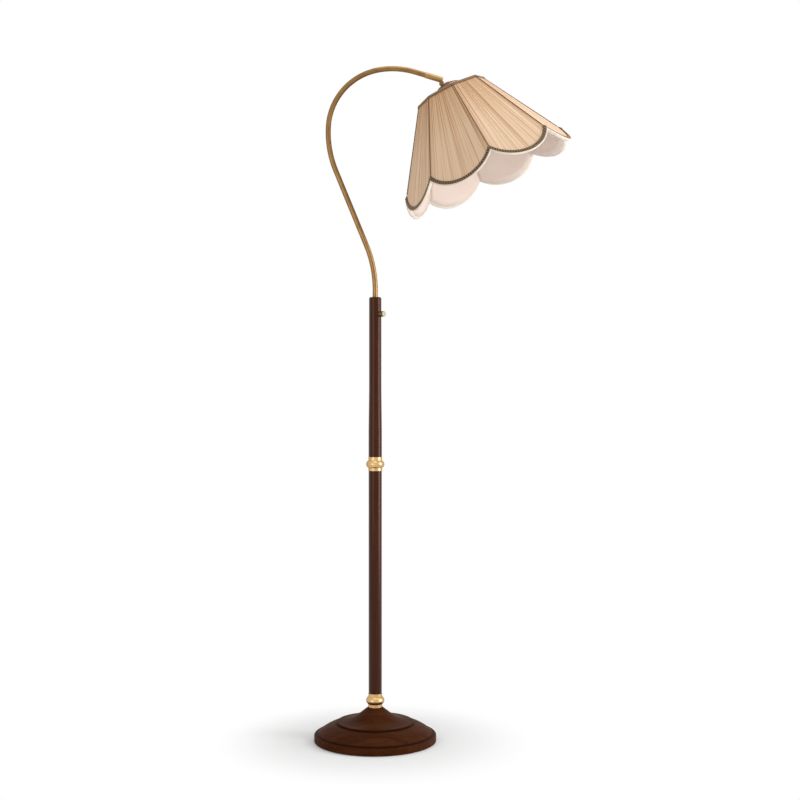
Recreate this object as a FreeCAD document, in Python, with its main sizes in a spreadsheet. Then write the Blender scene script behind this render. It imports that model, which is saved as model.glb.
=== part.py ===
"""Bridge floor lamp: turned base and pole, bent arm, tilting pleated shade.

Millimetres, +Z up.  The origin is the centre of the base on the floor; the arm leaves the pole's axis
in the XZ plane and carries the shade towards +X.
"""
import FreeCAD, Part
import math
import os
import re

import Sketcher
from FreeCAD import Placement, Rotation, Vector

SIZES = {
    # base
    "base_radius": 140.0,
    "pad_thickness": 1.5,
    "pad_inset": 4.0,
    "rim_height": 12.0,
    "rim_rounding": 3.5,
    "quirk_width": 2.5,
    "quirk_depth": 0.8,
    "dome_rise": 24.5,
    "dome_curve_radius": 100.0,
    "lip_radius": 88.5,
    "lip_height": 3.4,
    "lip_rounding": 2.0,
    "ogee_curve_radius": 82.5,
    "ogee_run": 50.5,
    "ogee_rise": 17.5,
    "neck_rise": 15.2,
    "neck_radius": 16.5,
    "shell_wall": 30.2,
    "weight_clearance": 0.3,
    "weight_thickness": 24.5,
    "weight_well_radius": 15.0,
    "weight_well_depth": 20.5,
    "weight_channel_width": 9.0,
    "weight_channel_depth": 9.5,
    # threaded rods, washer and nut
    "rod_radius": 5.0,
    "rod_bore_radius": 3.3,
    "rod_grip": 22.0,
    "thread_clearance": 0.1,
    "washer_radius": 12.5,
    "washer_thickness": 1.5,
    "nut_flats": 17.0,
    "nut_height": 5.0,
    # collars
    "collar_ring_radius": 16.0,
    "collar_ring_height": 5.0,
    "collar_groove_radius": 15.4,
    "collar_groove_height": 1.2,
    "collar_bead_radius": 21.0,
    "collar_bead_height": 17.5,
    "collar_bead_curve": 10.5,
    "collar_neck_radius": 15.7,
    "lower_collar_neck": 7.3,
    "middle_collar_neck": 7.8,
    # pole
    "lower_pole_radius": 15.25,
    "lower_pole_length": 511.0,
    "upper_pole_radius": 15.4,
    "upper_pole_foot": 61.5,
    "upper_pole_taper": 92.0,
    "upper_pole_length": 367.2,
    "pole_top_radius": 14.25,
    "pole_top_rounding": 3.5,
    # arm bearing in the pole's top
    "bush_radius": 9.5,
    "bush_height": 29.0,
    "bush_guide": 15.0,
    "bush_inset": 0.8,
    "foot_radius": 7.9,
    "foot_height": 10.0,
    "foot_groove_width": 3.0,
    "foot_groove_depth": 1.1,
    "foot_groove_angle": 340.0,
    "stop_screw_radius": 1.2,
    "running_clearance": 0.05,
    "thrust_washer_thickness": 1.0,
    "seat_clearance": 0.3,
    # arm
    "arm_radius": 6.0,
    "arm_wall": 1.2,
    "arm_rise": 15.9,
    "arm_lean_radius": 272.5,
    "arm_lean": 22.3,
    "arm_lean_length": 185.4,
    "arm_return_radius": 231.4,
    "arm_return": 25.8,
    "arm_crook_radius": 140.0,
    "arm_crook": 75.3,
    "arm_crown_radius": 178.7,
    "arm_crown": 27.7,
    "arm_end_length": 49.0,
    "sleeve_radius": 6.75,
    "sleeve_length": 41.0,
    "plug_length": 18.0,
    # knuckle
    "knuckle_drop": 7.7,
    "knuckle_radius": 5.4,
    "cheek_thickness": 2.3,
    "tongue_thickness": 4.6,
    "tongue_radius": 5.0,
    "tongue_stem_width": 7.0,
    "knuckle_clearance": 0.3,
    "pivot_radius": 1.95,
    "pivot_head_radius": 3.2,
    "pivot_head_height": 1.2,
    # switch
    "switch_drop": 39.3,
    "switch_bearing": -34.0,
    "switch_radius": 5.8,
    "switch_half_length": 9.0,
    "switch_neck_radius": 3.5,
    "spindle_radius": 2.5,
    "rosette_radius": 6.6,
    "rosette_thickness": 1.4,
    "rosette_seat": 12.6,
    "knob_radius": 6.25,
    "knob_reach": 11.5,
    "knob_rounding": 0.8,
    # leads
    "lead_radius": 2.5,
    "lead_bend": 8.8,
    "gland_radius": 4.6,
    "gland_flange_radius": 7.0,
    "gland_flange": 1.6,
    "gland_length": 20.0,
    "gland_height": 8.2,
    # shade
    "shade_tilt": 24.5,
    "panel_count": 8.0,
    "shade_height": 190.0,
    "shade_top_radius": 79.0,
    "shade_bottom_radius": 197.2,
    "scallop_depth": 40.0,
    "cloth_thickness": 0.7,
    "pleat_count": 18.0,
    "pleat_depth": 0.9,
    "braid_width": 10.5,
    "braid_thickness": 1.8,
    "binding_width": 6.5,
    "binding_thickness": 1.0,
    "piping_radius": 0.8,
    "frame_wire_radius": 1.4,
    "frame_weld_radius": 1.7,
    "frame_gap": 4.0,
    "lining_gap": 6.2,
    "lining_thickness": 0.6,
    "pivot_offset": 11.0,
    "pivot_rise": 25.0,
    # lampholder and its cap
    "cap_boss_radius": 5.8,
    "cap_boss_top": 22.0,
    "cap_crown_radius": 13.0,
    "cap_crown_height": 18.9,
    "cap_shoulder_radius": 28.0,
    "cap_shoulder_height": 13.0,
    "cap_rim_radius": 30.0,
    "cap_rim_height": 3.2,
    "cap_wall": 1.2,
    "spider_thickness": 2.4,
    "spider_ring_width": 5.5,
    "spider_arm_width": 6.0,
    "spider_arms": 4.0,
    "holder_skirt_radius": 19.5,
    "holder_shoulder_radius": 23.0,
    "holder_shoulder": 2.6,
    "holder_cup_radius": 17.5,
    "holder_cup_top": 13.5,
    "holder_skirt_length": 32.0,
    "holder_bore_radius": 14.2,
    "holder_ring_radius": 27.0,
    "holder_ring_height": 6.0,
    "contact_radius": 5.0,
    "contact_height": 2.0,
    "bulb_cap_radius": 13.5,
    "bulb_cap_length": 24.0,
    "bulb_tip_height": 3.0,
    "bulb_neck_radius": 13.0,
    "bulb_neck_length": 4.0,
    "bulb_wall": 1.0,
    "bulb_radius": 30.0,
    "bulb_length": 80.0,
}

document = FreeCAD.newDocument("BridgeFloorLamp")
sheet = document.addObject("Spreadsheet::Sheet", "Sizes")
for row, (alias, number) in enumerate(SIZES.items(), start=1):
    sheet.set(f"A{row}", alias)
    sheet.set(f"B{row}", str(number))
    sheet.setAlias(f"B{row}", alias)
document.recompute()

NODES = []
FULL_TURN = 360.0


def linked(expression):
    """The expression with each size's name pointing at its cell in the sheet."""
    return re.sub(
        r"[a-z][a-z_0-9]*",
        lambda found: "Sizes." + found.group() if found.group() in SIZES else found.group(),
        expression,
    )


def size(expression):
    """The number that an expression of the sheet's names has."""
    return float(document.getObject("Sizes").evalExpression(expression))


def node(feature, label):
    """Names an object as one of the lamp's pieces."""
    feature.Label = label
    NODES.append(feature)
    return feature


def origin_plane(body, role):
    """One of a body's own origin planes."""
    return next(feature for feature in body.Origin.OriginFeatures if feature.Role == role)


def new_sketch(body, name, role):
    """An empty sketch on one of the body's own origin planes."""
    sketch = body.newObject("Sketcher::SketchObject", name)
    sketch.AttachmentSupport = (origin_plane(body, role), [""])
    sketch.MapMode = "FlatFace"
    return sketch


def bound(sketch, kind, *place, expression):
    """A dimension of the sketch that follows an expression of the sheet's names."""
    index = sketch.addConstraint(Sketcher.Constraint(kind, *place, size(expression)))
    sketch.setExpression(f"Constraints[{index}]", linked(expression))


def bound_angle(sketch, *place, expression):
    """An angle of the sketch, in degrees, that follows an expression of the sheet's names."""
    index = sketch.addConstraint(Sketcher.Constraint("Angle", *place, math.radians(size(expression))))
    sketch.setExpression(f"Constraints[{index}]", f"({linked(expression)}) * 1 deg")


def sketch_arc(start, middle, end):
    """An anticlockwise arc through three points, and the numbers of its first and last ends."""
    centre = Part.Arc(start, middle, end).toShape().Curve.Center
    chord, bulge = end - start, middle - start
    clockwise = chord.x * bulge.y - chord.y * bulge.x > 0
    first, last = (end, start) if clockwise else (start, end)
    angles = [math.atan2(point.y - centre.y, point.x - centre.x) for point in (first, last)]
    if angles[1] < angles[0]:
        angles[1] += 2 * math.pi
    circle = Part.Circle(centre, Vector(0, 0, 1), centre.distanceToPoint(start))
    return Part.ArcOfCircle(circle, *angles), ((2, 1) if clockwise else (1, 2))


def outline(sketch, corners):
    """A closed outline.

    Each corner is (x, y) or (x, y, radius, side): the edge that leaves it is then an arc of that
    radius, whose middle lies to the left (side 1) or the right (side -1) of the way along it.
    """
    points = [Vector(size(corner[0]), size(corner[1]), 0) for corner in corners]
    ends = []
    for index, corner in enumerate(corners):
        start, end = points[index], points[(index + 1) % len(points)]
        if len(corner) == 2:
            sketch.addGeometry(Part.LineSegment(start, end))
            ends.append((1, 2))
            continue
        radius, side = size(corner[2]), corner[3]
        chord = end - start
        across = Vector(-chord.y, chord.x, 0).normalize()
        rise = radius - math.sqrt(radius**2 - (chord.Length / 2) ** 2)
        arc, arc_ends = sketch_arc(start, (start + end) * 0.5 + across * (side * rise), end)
        sketch.addGeometry(arc)
        ends.append(arc_ends)
    for index, corner in enumerate(corners):
        following = (index + 1) % len(corners)
        sketch.addConstraint(
            Sketcher.Constraint("Coincident", index, ends[index][1], following, ends[following][0])
        )
        for kind, axis, value in (("DistanceX", -2, corner[0]), ("DistanceY", -1, corner[1])):
            if value == "0":
                sketch.addConstraint(Sketcher.Constraint("PointOnObject", index, ends[index][0], axis))
            else:
                bound(sketch, kind, index, ends[index][0], expression=value)
        if len(corner) > 2:
            bound(sketch, "Radius", index, expression=corner[2])


def revolve(body, name, corners, angle="360"):
    """A profile in the XZ plane, turned round the Z axis."""
    sketch = new_sketch(body, name + "_profile", "XZ_Plane")
    outline(sketch, corners)
    turned_feature = body.newObject("PartDesign::Revolution", name)
    turned_feature.Profile = sketch
    turned_feature.ReferenceAxis = (sketch, ["V_Axis"])
    turned_feature.setExpression("Angle", linked(angle))
    return turned_feature


def turned(label, corners):
    """A piece that is one profile turned round the Z axis."""
    body = document.addObject("PartDesign::Body", label)
    revolve(body, label + "_turning", corners)
    return body


def tube(label, outer, inner, low, high):
    """A straight tube on the Z axis."""
    return turned(label, [(inner, low), (outer, low), (outer, high), (inner, high)])


def rod(label, radius, length, place):
    """A plain round bar along its own Z axis."""
    bar = document.addObject("Part::Cylinder", label)
    bar.setExpression("Radius", linked(radius))
    bar.setExpression("Height", linked(length))
    bar.Placement = place
    return bar


def block(label, length, width, height, place):
    """A plain block from its own origin corner."""
    box = document.addObject("Part::Box", label)
    box.setExpression("Length", linked(length))
    box.setExpression("Width", linked(width))
    box.setExpression("Height", linked(height))
    box.Placement = place
    return box


def cut(label, blank, *tools):
    """The blank with each tool cut out of it."""
    result = blank
    for index, tool in enumerate(tools):
        cutting = document.addObject("Part::Cut", f"{label}_cut_{index}")
        cutting.Base = result
        cutting.Tool = tool
        result = cutting
    return result


def joined(label, *pieces):
    """Pieces of one solid, fused."""
    fusing = document.addObject("Part::MultiFuse", label + "_fused")
    fusing.Shapes = list(pieces)
    return fusing


def shaped(label, shape, place=None):
    """A piece whose shape is worked out here from the sheet's sizes."""
    feature = document.addObject("Part::Feature", label)
    feature.Shape = shape
    if place is not None:
        feature.Placement = place
    return node(feature, label)


# ------------------------------------------------------------------ heights up the stand

FLOOR_OF_SHELL = "pad_thickness"
RIM_TOP = "pad_thickness + rim_height + rim_rounding"
LIP_FOOT = f"{RIM_TOP} + dome_rise"
LIP_TOP = f"{LIP_FOOT} + lip_height"
BASE_TOP = f"{LIP_TOP} + ogee_rise + neck_rise"
WEIGHT_BOTTOM = "pad_thickness + seat_clearance"
WEIGHT_TOP = f"{WEIGHT_BOTTOM} + weight_thickness"
WELL_TOP = f"{WEIGHT_BOTTOM} + weight_well_depth"
COLLAR_BODY = "collar_ring_height + collar_groove_height + collar_bead_height"
LOWER_COLLAR_TOP = f"{BASE_TOP} + {COLLAR_BODY} + lower_collar_neck"
LOWER_POLE_TOP = f"{LOWER_COLLAR_TOP} + lower_pole_length"
MIDDLE_COLLAR_TOP = f"{LOWER_POLE_TOP} + {COLLAR_BODY} + middle_collar_neck"
POLE_TOP = f"{MIDDLE_COLLAR_TOP} + upper_pole_length"
THREAD_RADIUS = "rod_radius + thread_clearance"
RECESS_RADIUS = "base_radius - shell_wall"


def make_base():
    """Turned wooden shell with its iron weight, felt pad and cord gland."""
    shell = turned("base_shell_blank", [
        (THREAD_RADIUS, WEIGHT_TOP),
        (RECESS_RADIUS, WEIGHT_TOP),
        (RECESS_RADIUS, FLOOR_OF_SHELL),
        ("base_radius", FLOOR_OF_SHELL),
        ("base_radius", "pad_thickness + rim_height", "rim_rounding", -1),
        ("base_radius - rim_rounding", RIM_TOP),
        ("base_radius - rim_rounding - quirk_width / 2", f"{RIM_TOP} - quirk_depth"),
        ("base_radius - rim_rounding - quirk_width", RIM_TOP, "dome_curve_radius", -1),
        ("lip_radius - quirk_depth", LIP_FOOT),
        ("lip_radius", f"{LIP_FOOT} + quirk_depth"),
        ("lip_radius", f"{LIP_TOP} - lip_rounding", "lip_rounding", -1),
        ("lip_radius - lip_rounding", LIP_TOP, "ogee_curve_radius", 1),
        ("lip_radius - lip_rounding - ogee_run", f"{LIP_TOP} + ogee_rise"),
        ("neck_radius", BASE_TOP),
        (THREAD_RADIUS, BASE_TOP),
    ])
    backward = Rotation(Vector(1, 0, 0), -90)
    gland_place = Placement(Vector(0, 0, size("gland_height")), backward)
    gland_hole = rod("gland_hole", "gland_radius + thread_clearance", "base_radius + 10", gland_place)
    node(cut("base_shell", shell, gland_hole), "base_shell")

    weight = turned("base_weight_blank", [
        (THREAD_RADIUS, WEIGHT_TOP),
        (THREAD_RADIUS, WELL_TOP),
        ("weight_well_radius", WELL_TOP),
        ("weight_well_radius", WEIGHT_BOTTOM),
        (f"{RECESS_RADIUS} - weight_clearance", WEIGHT_BOTTOM),
        (f"{RECESS_RADIUS} - weight_clearance", WEIGHT_TOP),
    ])
    channel = block(
        "lead_channel", "weight_channel_width", RECESS_RADIUS,
        "weight_channel_depth + 1",
        Placement(Vector(-size("weight_channel_width") / 2, 0, size(f"{WEIGHT_BOTTOM} - 1")), Rotation()),
    )
    node(cut("base_weight", weight, channel), "base_weight")

    pad = document.addObject("PartDesign::Body", "base_pad")
    revolve(pad, "pad_disc", [
        ("0", "0"),
        ("base_radius - pad_inset", "0"),
        ("base_radius - pad_inset", "pad_thickness"),
        ("0", "pad_thickness"),
    ])
    node(pad, "base_pad")

    gland = turned("cord_gland", [
        ("lead_radius + thread_clearance", "0"),
        ("gland_radius", "0"),
        ("gland_radius", "gland_length"),
        ("gland_flange_radius", "gland_length"),
        ("gland_flange_radius - 1", "gland_length + gland_flange"),
        ("lead_radius + thread_clearance", "gland_length + gland_flange"),
    ])
    gland.Placement = Placement(
        Vector(0, size("base_radius - gland_length"), size("gland_height")), backward
    )
    node(gland, "cord_gland")


def make_collar(label, foot, neck):
    """A turned brass collar: plain ring, groove, ovoid bead and neck."""
    groove = f"{foot} + collar_ring_height"
    bead = f"{groove} + collar_groove_height"
    top = f"{bead} + collar_bead_height"
    middle = f"{bead} + 0.5 * collar_bead_height"
    node(turned(label, [
        (THREAD_RADIUS, foot),
        ("collar_ring_radius", foot),
        ("collar_ring_radius", groove),
        ("collar_groove_radius", groove),
        ("collar_groove_radius", bead, "collar_bead_curve", -1),
        ("collar_bead_radius", middle, "collar_bead_curve", -1),
        ("collar_neck_radius", top),
        ("collar_neck_radius", f"{top} + {neck}"),
        (THREAD_RADIUS, f"{top} + {neck}"),
    ]), label)


def make_pole():
    """Two wooden poles, their brass collars and the threaded rods that draw them together."""
    rod_foot = f"{WELL_TOP} - washer_thickness - nut_height - 1"
    node(tube("tie_rod", "rod_radius", "rod_bore_radius", rod_foot,
              f"{LOWER_COLLAR_TOP} + rod_grip"), "tie_rod")
    node(tube("base_washer", "washer_radius", THREAD_RADIUS,
              f"{WELL_TOP} - washer_thickness", WELL_TOP), "base_washer")
    nut = document.addObject("Part::Prism", "base_nut_hexagon")
    nut.Polygon = 6
    nut.setExpression("Circumradius", linked("nut_flats / 2 / cos(30)"))
    nut.setExpression("Height", linked("nut_height"))
    nut.Placement = Placement(Vector(0, 0, size(f"{WELL_TOP} - washer_thickness - nut_height")), Rotation())
    nut_bore = rod("base_nut_bore", THREAD_RADIUS, "nut_height + 2",
                   Placement(Vector(0, 0, size(f"{WELL_TOP} - washer_thickness - nut_height - 1")), Rotation()))
    node(cut("base_nut", nut, nut_bore), "base_nut")

    make_collar("lower_collar", BASE_TOP, "lower_collar_neck")
    node(tube("lower_pole", "lower_pole_radius", THREAD_RADIUS, LOWER_COLLAR_TOP, LOWER_POLE_TOP),
         "lower_pole")
    make_collar("middle_collar", LOWER_POLE_TOP, "middle_collar_neck")
    node(tube("joint_rod", "rod_radius", "rod_bore_radius", f"{LOWER_POLE_TOP} - rod_grip",
              f"{MIDDLE_COLLAR_TOP} + rod_grip"), "joint_rod")

    blank = turned("upper_pole_blank", [
        (THREAD_RADIUS, MIDDLE_COLLAR_TOP),
        ("upper_pole_radius", MIDDLE_COLLAR_TOP),
        ("upper_pole_radius", f"{MIDDLE_COLLAR_TOP} + upper_pole_foot"),
        ("pole_top_radius", f"{MIDDLE_COLLAR_TOP} + upper_pole_foot + upper_pole_taper"),
        ("pole_top_radius", f"{POLE_TOP} - pole_top_rounding", "pole_top_rounding", -1),
        ("pole_top_radius - pole_top_rounding", POLE_TOP),
        ("bush_radius + running_clearance", POLE_TOP),
        ("bush_radius + running_clearance", BUSH_SEAT),
        (THREAD_RADIUS, BUSH_SEAT),
    ])
    inward = switch_place("-switch_half_length - seat_clearance")
    pocket = rod("switch_pocket", "switch_radius + thread_clearance", "base_radius", inward)
    seat = rod("rosette_pocket", "rosette_radius + seat_clearance", "base_radius",
               switch_place("rosette_seat"))
    node(cut("upper_pole", blank, pocket, seat), "upper_pole")


# ------------------------------------------------------------------ arm bearing and switch

BUSH_TOP = f"{POLE_TOP} - bush_inset"
BUSH_SEAT = f"{BUSH_TOP} - bush_height - thrust_washer_thickness"
BUSH_BOTTOM = f"{BUSH_TOP} - bush_height"
FOOT_BOTTOM = f"{BUSH_BOTTOM} + seat_clearance"
STOP_HEIGHT = f"{FOOT_BOTTOM} + foot_height / 2"
SWITCH_HEIGHT = f"{POLE_TOP} - switch_drop"


def switch_place(reach):
    """A place on the switch's axis, that far out from the pole's axis, with Z outward."""
    bearing = math.radians(size("switch_bearing"))
    outward = Vector(math.cos(bearing), math.sin(bearing), 0)
    start = outward * size(reach) + Vector(0, 0, size(SWITCH_HEIGHT))
    return Placement(start, Rotation(Vector(0, 0, 1), outward))


def make_bearing():
    """Bush in the pole's top, the washer under it and the screw that stops the arm's turn."""
    blank = turned("arm_bush_blank", [
        ("foot_radius + running_clearance", BUSH_BOTTOM),
        ("bush_radius", BUSH_BOTTOM),
        ("bush_radius", BUSH_TOP),
        ("arm_radius + running_clearance", BUSH_TOP),
        ("arm_radius + running_clearance", f"{BUSH_TOP} - bush_guide"),
        ("foot_radius + running_clearance", f"{BUSH_TOP} - bush_guide"),
    ])
    inward = Rotation(Vector(0, 0, 1), Vector(1, 0, 0))
    start = Vector(-size("bush_radius"), 0, size(STOP_HEIGHT))
    hole = rod("stop_hole", "stop_screw_radius + running_clearance", "bush_radius - foot_radius + 0.4",
               Placement(start - Vector(0.2, 0, 0), inward))
    node(cut("arm_bush", blank, hole), "arm_bush")
    screw = rod("stop_screw", "stop_screw_radius",
                "bush_radius - foot_radius + foot_groove_depth - seat_clearance",
                Placement(start, inward))
    node(screw, "stop_screw")
    node(tube("thrust_washer", "bush_radius - seat_clearance", THREAD_RADIUS, BUSH_SEAT,
              f"{BUSH_SEAT} + thrust_washer_thickness"), "thrust_washer")


def make_switch():
    """Rotary switch in the pole: body, rosette and the knob on its spindle."""
    body = turned("switch_body", [
        ("0", "-switch_half_length"),
        ("switch_radius", "-switch_half_length"),
        ("switch_radius", "switch_half_length"),
        ("switch_neck_radius", "switch_half_length"),
        ("switch_neck_radius", "rosette_seat + rosette_thickness"),
        ("spindle_radius + running_clearance", "rosette_seat + rosette_thickness"),
        ("spindle_radius + running_clearance", "2"),
        ("0", "2"),
    ])
    body.Placement = switch_place("0")
    node(body, "switch_body")
    rosette = turned("switch_rosette", [
        ("switch_neck_radius + running_clearance", "rosette_seat"),
        ("rosette_radius", "rosette_seat"),
        ("rosette_radius", "rosette_seat + rosette_thickness"),
        ("switch_neck_radius + running_clearance", "rosette_seat + rosette_thickness"),
    ])
    rosette.Placement = switch_place("0")
    node(rosette, "switch_rosette")
    knob_foot = "rosette_seat + rosette_thickness + seat_clearance"
    knob_end = "pole_top_radius + knob_reach"
    knob = turned("switch_knob", [
        ("0", "2 + seat_clearance"),
        ("spindle_radius", "2 + seat_clearance"),
        ("spindle_radius", knob_foot),
        ("knob_radius", knob_foot),
        ("knob_radius", f"{knob_end} - knob_rounding", "knob_rounding", -1),
        ("knob_radius - knob_rounding", knob_end),
        ("0", knob_end),
    ])
    knob.Placement = switch_place("0")
    node(knob, "switch_knob")


# ------------------------------------------------------------------ arm

ARM_BENDS = (
    # radius, angle, which way (1 turns towards -X), straight length after it
    ("arm_lean_radius", "arm_lean", 1, "arm_lean_length"),
    ("arm_return_radius", "arm_return", -1, None),
    ("arm_crook_radius", "arm_crook", -1, None),
    ("arm_crown_radius", "arm_crown", -1, "arm_end_length"),
)
ARM_FOOT = FOOT_BOTTOM
ARM_START = f"{POLE_TOP} + arm_rise - ({ARM_FOOT})"


def arm_route():
    """The arm's centreline: its edges' corners and the way it heads at its end."""
    place = Vector(0, 0, size(ARM_FOOT))
    heading = 0.0
    stretches = [("line", place, place + Vector(0, 0, size(ARM_START)))]
    place = stretches[0][2]
    for radius, angle, way, straight in ARM_BENDS:
        reach, turn = size(radius), way * math.radians(size(angle))
        centre = place + Vector(-math.cos(heading), 0, -math.sin(heading)) * (way * reach)
        middle, end = (
            centre + Vector(math.cos(heading + part * turn), 0, math.sin(heading + part * turn))
            * (way * reach)
            for part in (0.5, 1.0)
        )
        stretches.append(("arc", place, middle, end))
        heading += turn
        place = end
        if straight:
            ahead = Vector(-math.sin(heading), 0, math.cos(heading))
            stretches.append(("line", place, place + ahead * size(straight)))
            place = stretches[-1][2]
    return stretches, Vector(-math.sin(heading), 0, math.cos(heading))


def swept_along_arm(label, *radii):
    """A round section, or a ring of two radii, swept up the arm's centreline."""
    body = document.addObject("PartDesign::Body", label)
    path = new_sketch(body, label + "_route", "XZ_Plane")
    stretches, _ = arm_route()
    ends = []
    for kind, *points in stretches:
        flat = [Vector(point.x, point.z, 0) for point in points]
        edge, edge_ends = (Part.LineSegment(*flat), (1, 2)) if kind == "line" else sketch_arc(*flat)
        path.addGeometry(edge)
        ends.append(edge_ends)
    path.addConstraint(Sketcher.Constraint("PointOnObject", 0, 1, -2))
    path.addConstraint(Sketcher.Constraint("Vertical", 0))
    bound(path, "DistanceY", 0, 1, expression=ARM_FOOT)
    bound(path, "Distance", 0, expression=ARM_START)
    for index in range(1, len(stretches)):
        path.addConstraint(
            Sketcher.Constraint("Tangent", index - 1, ends[index - 1][1], index, ends[index][0])
        )
    index = 1
    for radius, angle, _way, straight in ARM_BENDS:
        bound(path, "Radius", index, expression=radius)
        bound_angle(path, index, expression=angle)
        index += 1
        if straight:
            bound(path, "Distance", index, expression=straight)
            index += 1
    section = new_sketch(body, label + "_section", "XY_Plane")
    section.AttachmentOffset = Placement(Vector(0, 0, size(ARM_FOOT)), Rotation())
    section.setExpression("AttachmentOffset.Base.z", linked(ARM_FOOT))
    for ring, radius in enumerate(radii):
        section.addGeometry(Part.Circle(Vector(0, 0, 0), Vector(0, 0, 1), size(radius)))
        section.addConstraint(Sketcher.Constraint("Coincident", ring, 3, -1, 1))
        bound(section, "Radius", ring, expression=radius)
    pipe = body.newObject("PartDesign::AdditivePipe", label + "_pipe")
    pipe.Profile = section
    pipe.Spine = (path, [f"Edge{number + 1}" for number in range(len(stretches))])
    return body


def arm_end():
    """The end of the sleeve's axis and the direction it points in."""
    stretches, ahead = arm_route()
    return stretches[-1][-1] + ahead * size("plug_length"), ahead


def pivot_point():
    """The knuckle's pivot, below the end of the sleeve."""
    end, ahead = arm_end()
    below = Vector(ahead.z, 0, -ahead.x)
    return end + below * size("knuckle_drop")


def arm_frame(point):
    """A placement with X along the arm's end and Z square to it, upward."""
    _, ahead = arm_end()
    return Placement(point, Rotation(Vector(0, 1, 0), math.degrees(math.atan2(-ahead.z, ahead.x))))


def make_arm():
    """Bent brass tube with its foot, end sleeve, fork and pivot screw."""
    node(swept_along_arm("arm_tube", "arm_radius", "arm_radius - arm_wall"), "arm_tube")
    stretches, _ = arm_route()
    route = Part.Wire([
        (Part.LineSegment if kind == "line" else Part.Arc)(*points).toShape()
        for kind, *points in stretches
    ])
    start = stretches[0][1]
    section = Part.Wire(Part.Circle(start, Vector(0, 0, 1), size("lead_radius")).toShape())
    against_wall = Vector(0, size("arm_radius - arm_wall - lead_radius - seat_clearance"), 0)
    shaped("arm_lead", route.makePipeShell([section], True, True), Placement(against_wall, Rotation()))

    foot = turned("arm_foot", [
        ("arm_radius + running_clearance", FOOT_BOTTOM),
        ("foot_radius", FOOT_BOTTOM),
        ("foot_radius", f"{FOOT_BOTTOM} + foot_height"),
        ("arm_radius + running_clearance", f"{FOOT_BOTTOM} + foot_height"),
    ])
    groove_sketch = new_sketch(foot, "stop_groove_profile", "XZ_Plane")
    outline(groove_sketch, [
        ("foot_radius - foot_groove_depth", f"{STOP_HEIGHT} - foot_groove_width / 2"),
        ("foot_radius + 1", f"{STOP_HEIGHT} - foot_groove_width / 2"),
        ("foot_radius + 1", f"{STOP_HEIGHT} + foot_groove_width / 2"),
        ("foot_radius - foot_groove_depth", f"{STOP_HEIGHT} + foot_groove_width / 2"),
    ])
    document.recompute()
    whole = foot.Shape.Volume
    groove = foot.newObject("PartDesign::Groove", "stop_groove")
    groove.Profile = groove_sketch
    groove.ReferenceAxis = (groove_sketch, ["V_Axis"])
    groove.setExpression("Angle", linked("foot_groove_angle"))
    document.recompute()
    if foot.Shape.Volume > whole * 0.95:
        groove.Reversed = True
    # the web left between the groove's ends faces the way the arm reaches
    foot.Placement = Placement(
        Vector(0, 0, 0), Rotation(Vector(0, 0, 1), (FULL_TURN - size("foot_groove_angle")) / 2)
    )
    node(foot, "arm_foot")

    end, ahead = arm_end()
    pivot = pivot_point()
    along = Rotation(Vector(0, 0, 1), ahead)
    sleeve_start = end - ahead * size("sleeve_length")
    ring = tube("sleeve_ring", "sleeve_radius", "arm_radius + running_clearance", "0", "sleeve_length")
    ring.Placement = Placement(sleeve_start, along)
    across = "2 * cheek_thickness + tongue_thickness + 2 * knuckle_clearance"
    notch_width = f"{across} + 2 * knuckle_clearance"
    at_pivot = arm_frame(pivot)
    notch = block(
        "sleeve_notch", "knuckle_radius + knuckle_clearance + 1", notch_width, "knuckle_radius + 3",
        at_pivot * Placement(
            Vector(-size("knuckle_radius + knuckle_clearance"), -size(notch_width) / 2, -3), Rotation()
        ),
    )
    node(cut("arm_sleeve", ring, notch), "arm_sleeve")

    sideways = Rotation(Vector(1, 0, 0), -90)
    plug = rod("fork_plug", "arm_radius", "plug_length - seat_clearance",
               Placement(end - ahead * size("plug_length - seat_clearance"), along))
    half_across = size(across) / 2
    disc = rod("fork_disc", "knuckle_radius", across,
               at_pivot * Placement(Vector(0, -half_across, 0), sideways))
    web = block("fork_web", "knuckle_radius", across, "knuckle_drop",
                at_pivot * Placement(Vector(-size("knuckle_radius"), -half_across, 0), Rotation()))
    slot_width = "tongue_thickness + 2 * knuckle_clearance"
    slot = rod("fork_slot", "tongue_radius + knuckle_clearance", slot_width,
               at_pivot * Placement(Vector(0, -size(slot_width) / 2, 0), sideways))
    mouth = block("fork_mouth", "4 * knuckle_radius", slot_width, "4 * knuckle_radius",
                  at_pivot * Placement(
                      Vector(-2 * size("knuckle_radius"), -size(slot_width) / 2,
                             -4 * size("knuckle_radius")), Rotation()))
    front = block("fork_front", "2 * knuckle_radius", slot_width, "2 * knuckle_radius",
                  at_pivot * Placement(Vector(0, -size(slot_width) / 2, 0), Rotation()))
    hole = rod("fork_hole", "pivot_radius + running_clearance", "4 * knuckle_radius",
               at_pivot * Placement(Vector(0, -2 * size("knuckle_radius"), 0), sideways))
    fork = joined("arm_fork", plug, disc, web)
    node(cut("arm_fork", fork, slot, mouth, front, hole), "arm_fork")

    screw = turned("pivot_screw", [
        ("0", "-pivot_head_height"),
        ("pivot_head_radius - 0.4", "-pivot_head_height"),
        ("pivot_head_radius", "-pivot_head_height + 0.4"),
        ("pivot_head_radius", "0"),
        ("pivot_radius", "0"),
        ("pivot_radius", f"{across} + pivot_head_height"),
        ("0", f"{across} + pivot_head_height"),
    ])
    screw.Placement = at_pivot * Placement(Vector(0, -half_across, 0), sideways)
    node(screw, "pivot_screw")
    nut = tube("pivot_nut", "pivot_head_radius", "pivot_radius", across, f"{across} + pivot_head_height")
    nut.Placement = screw.Placement
    node(nut, "pivot_nut")


# ------------------------------------------------------------------ leads in the stand

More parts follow.
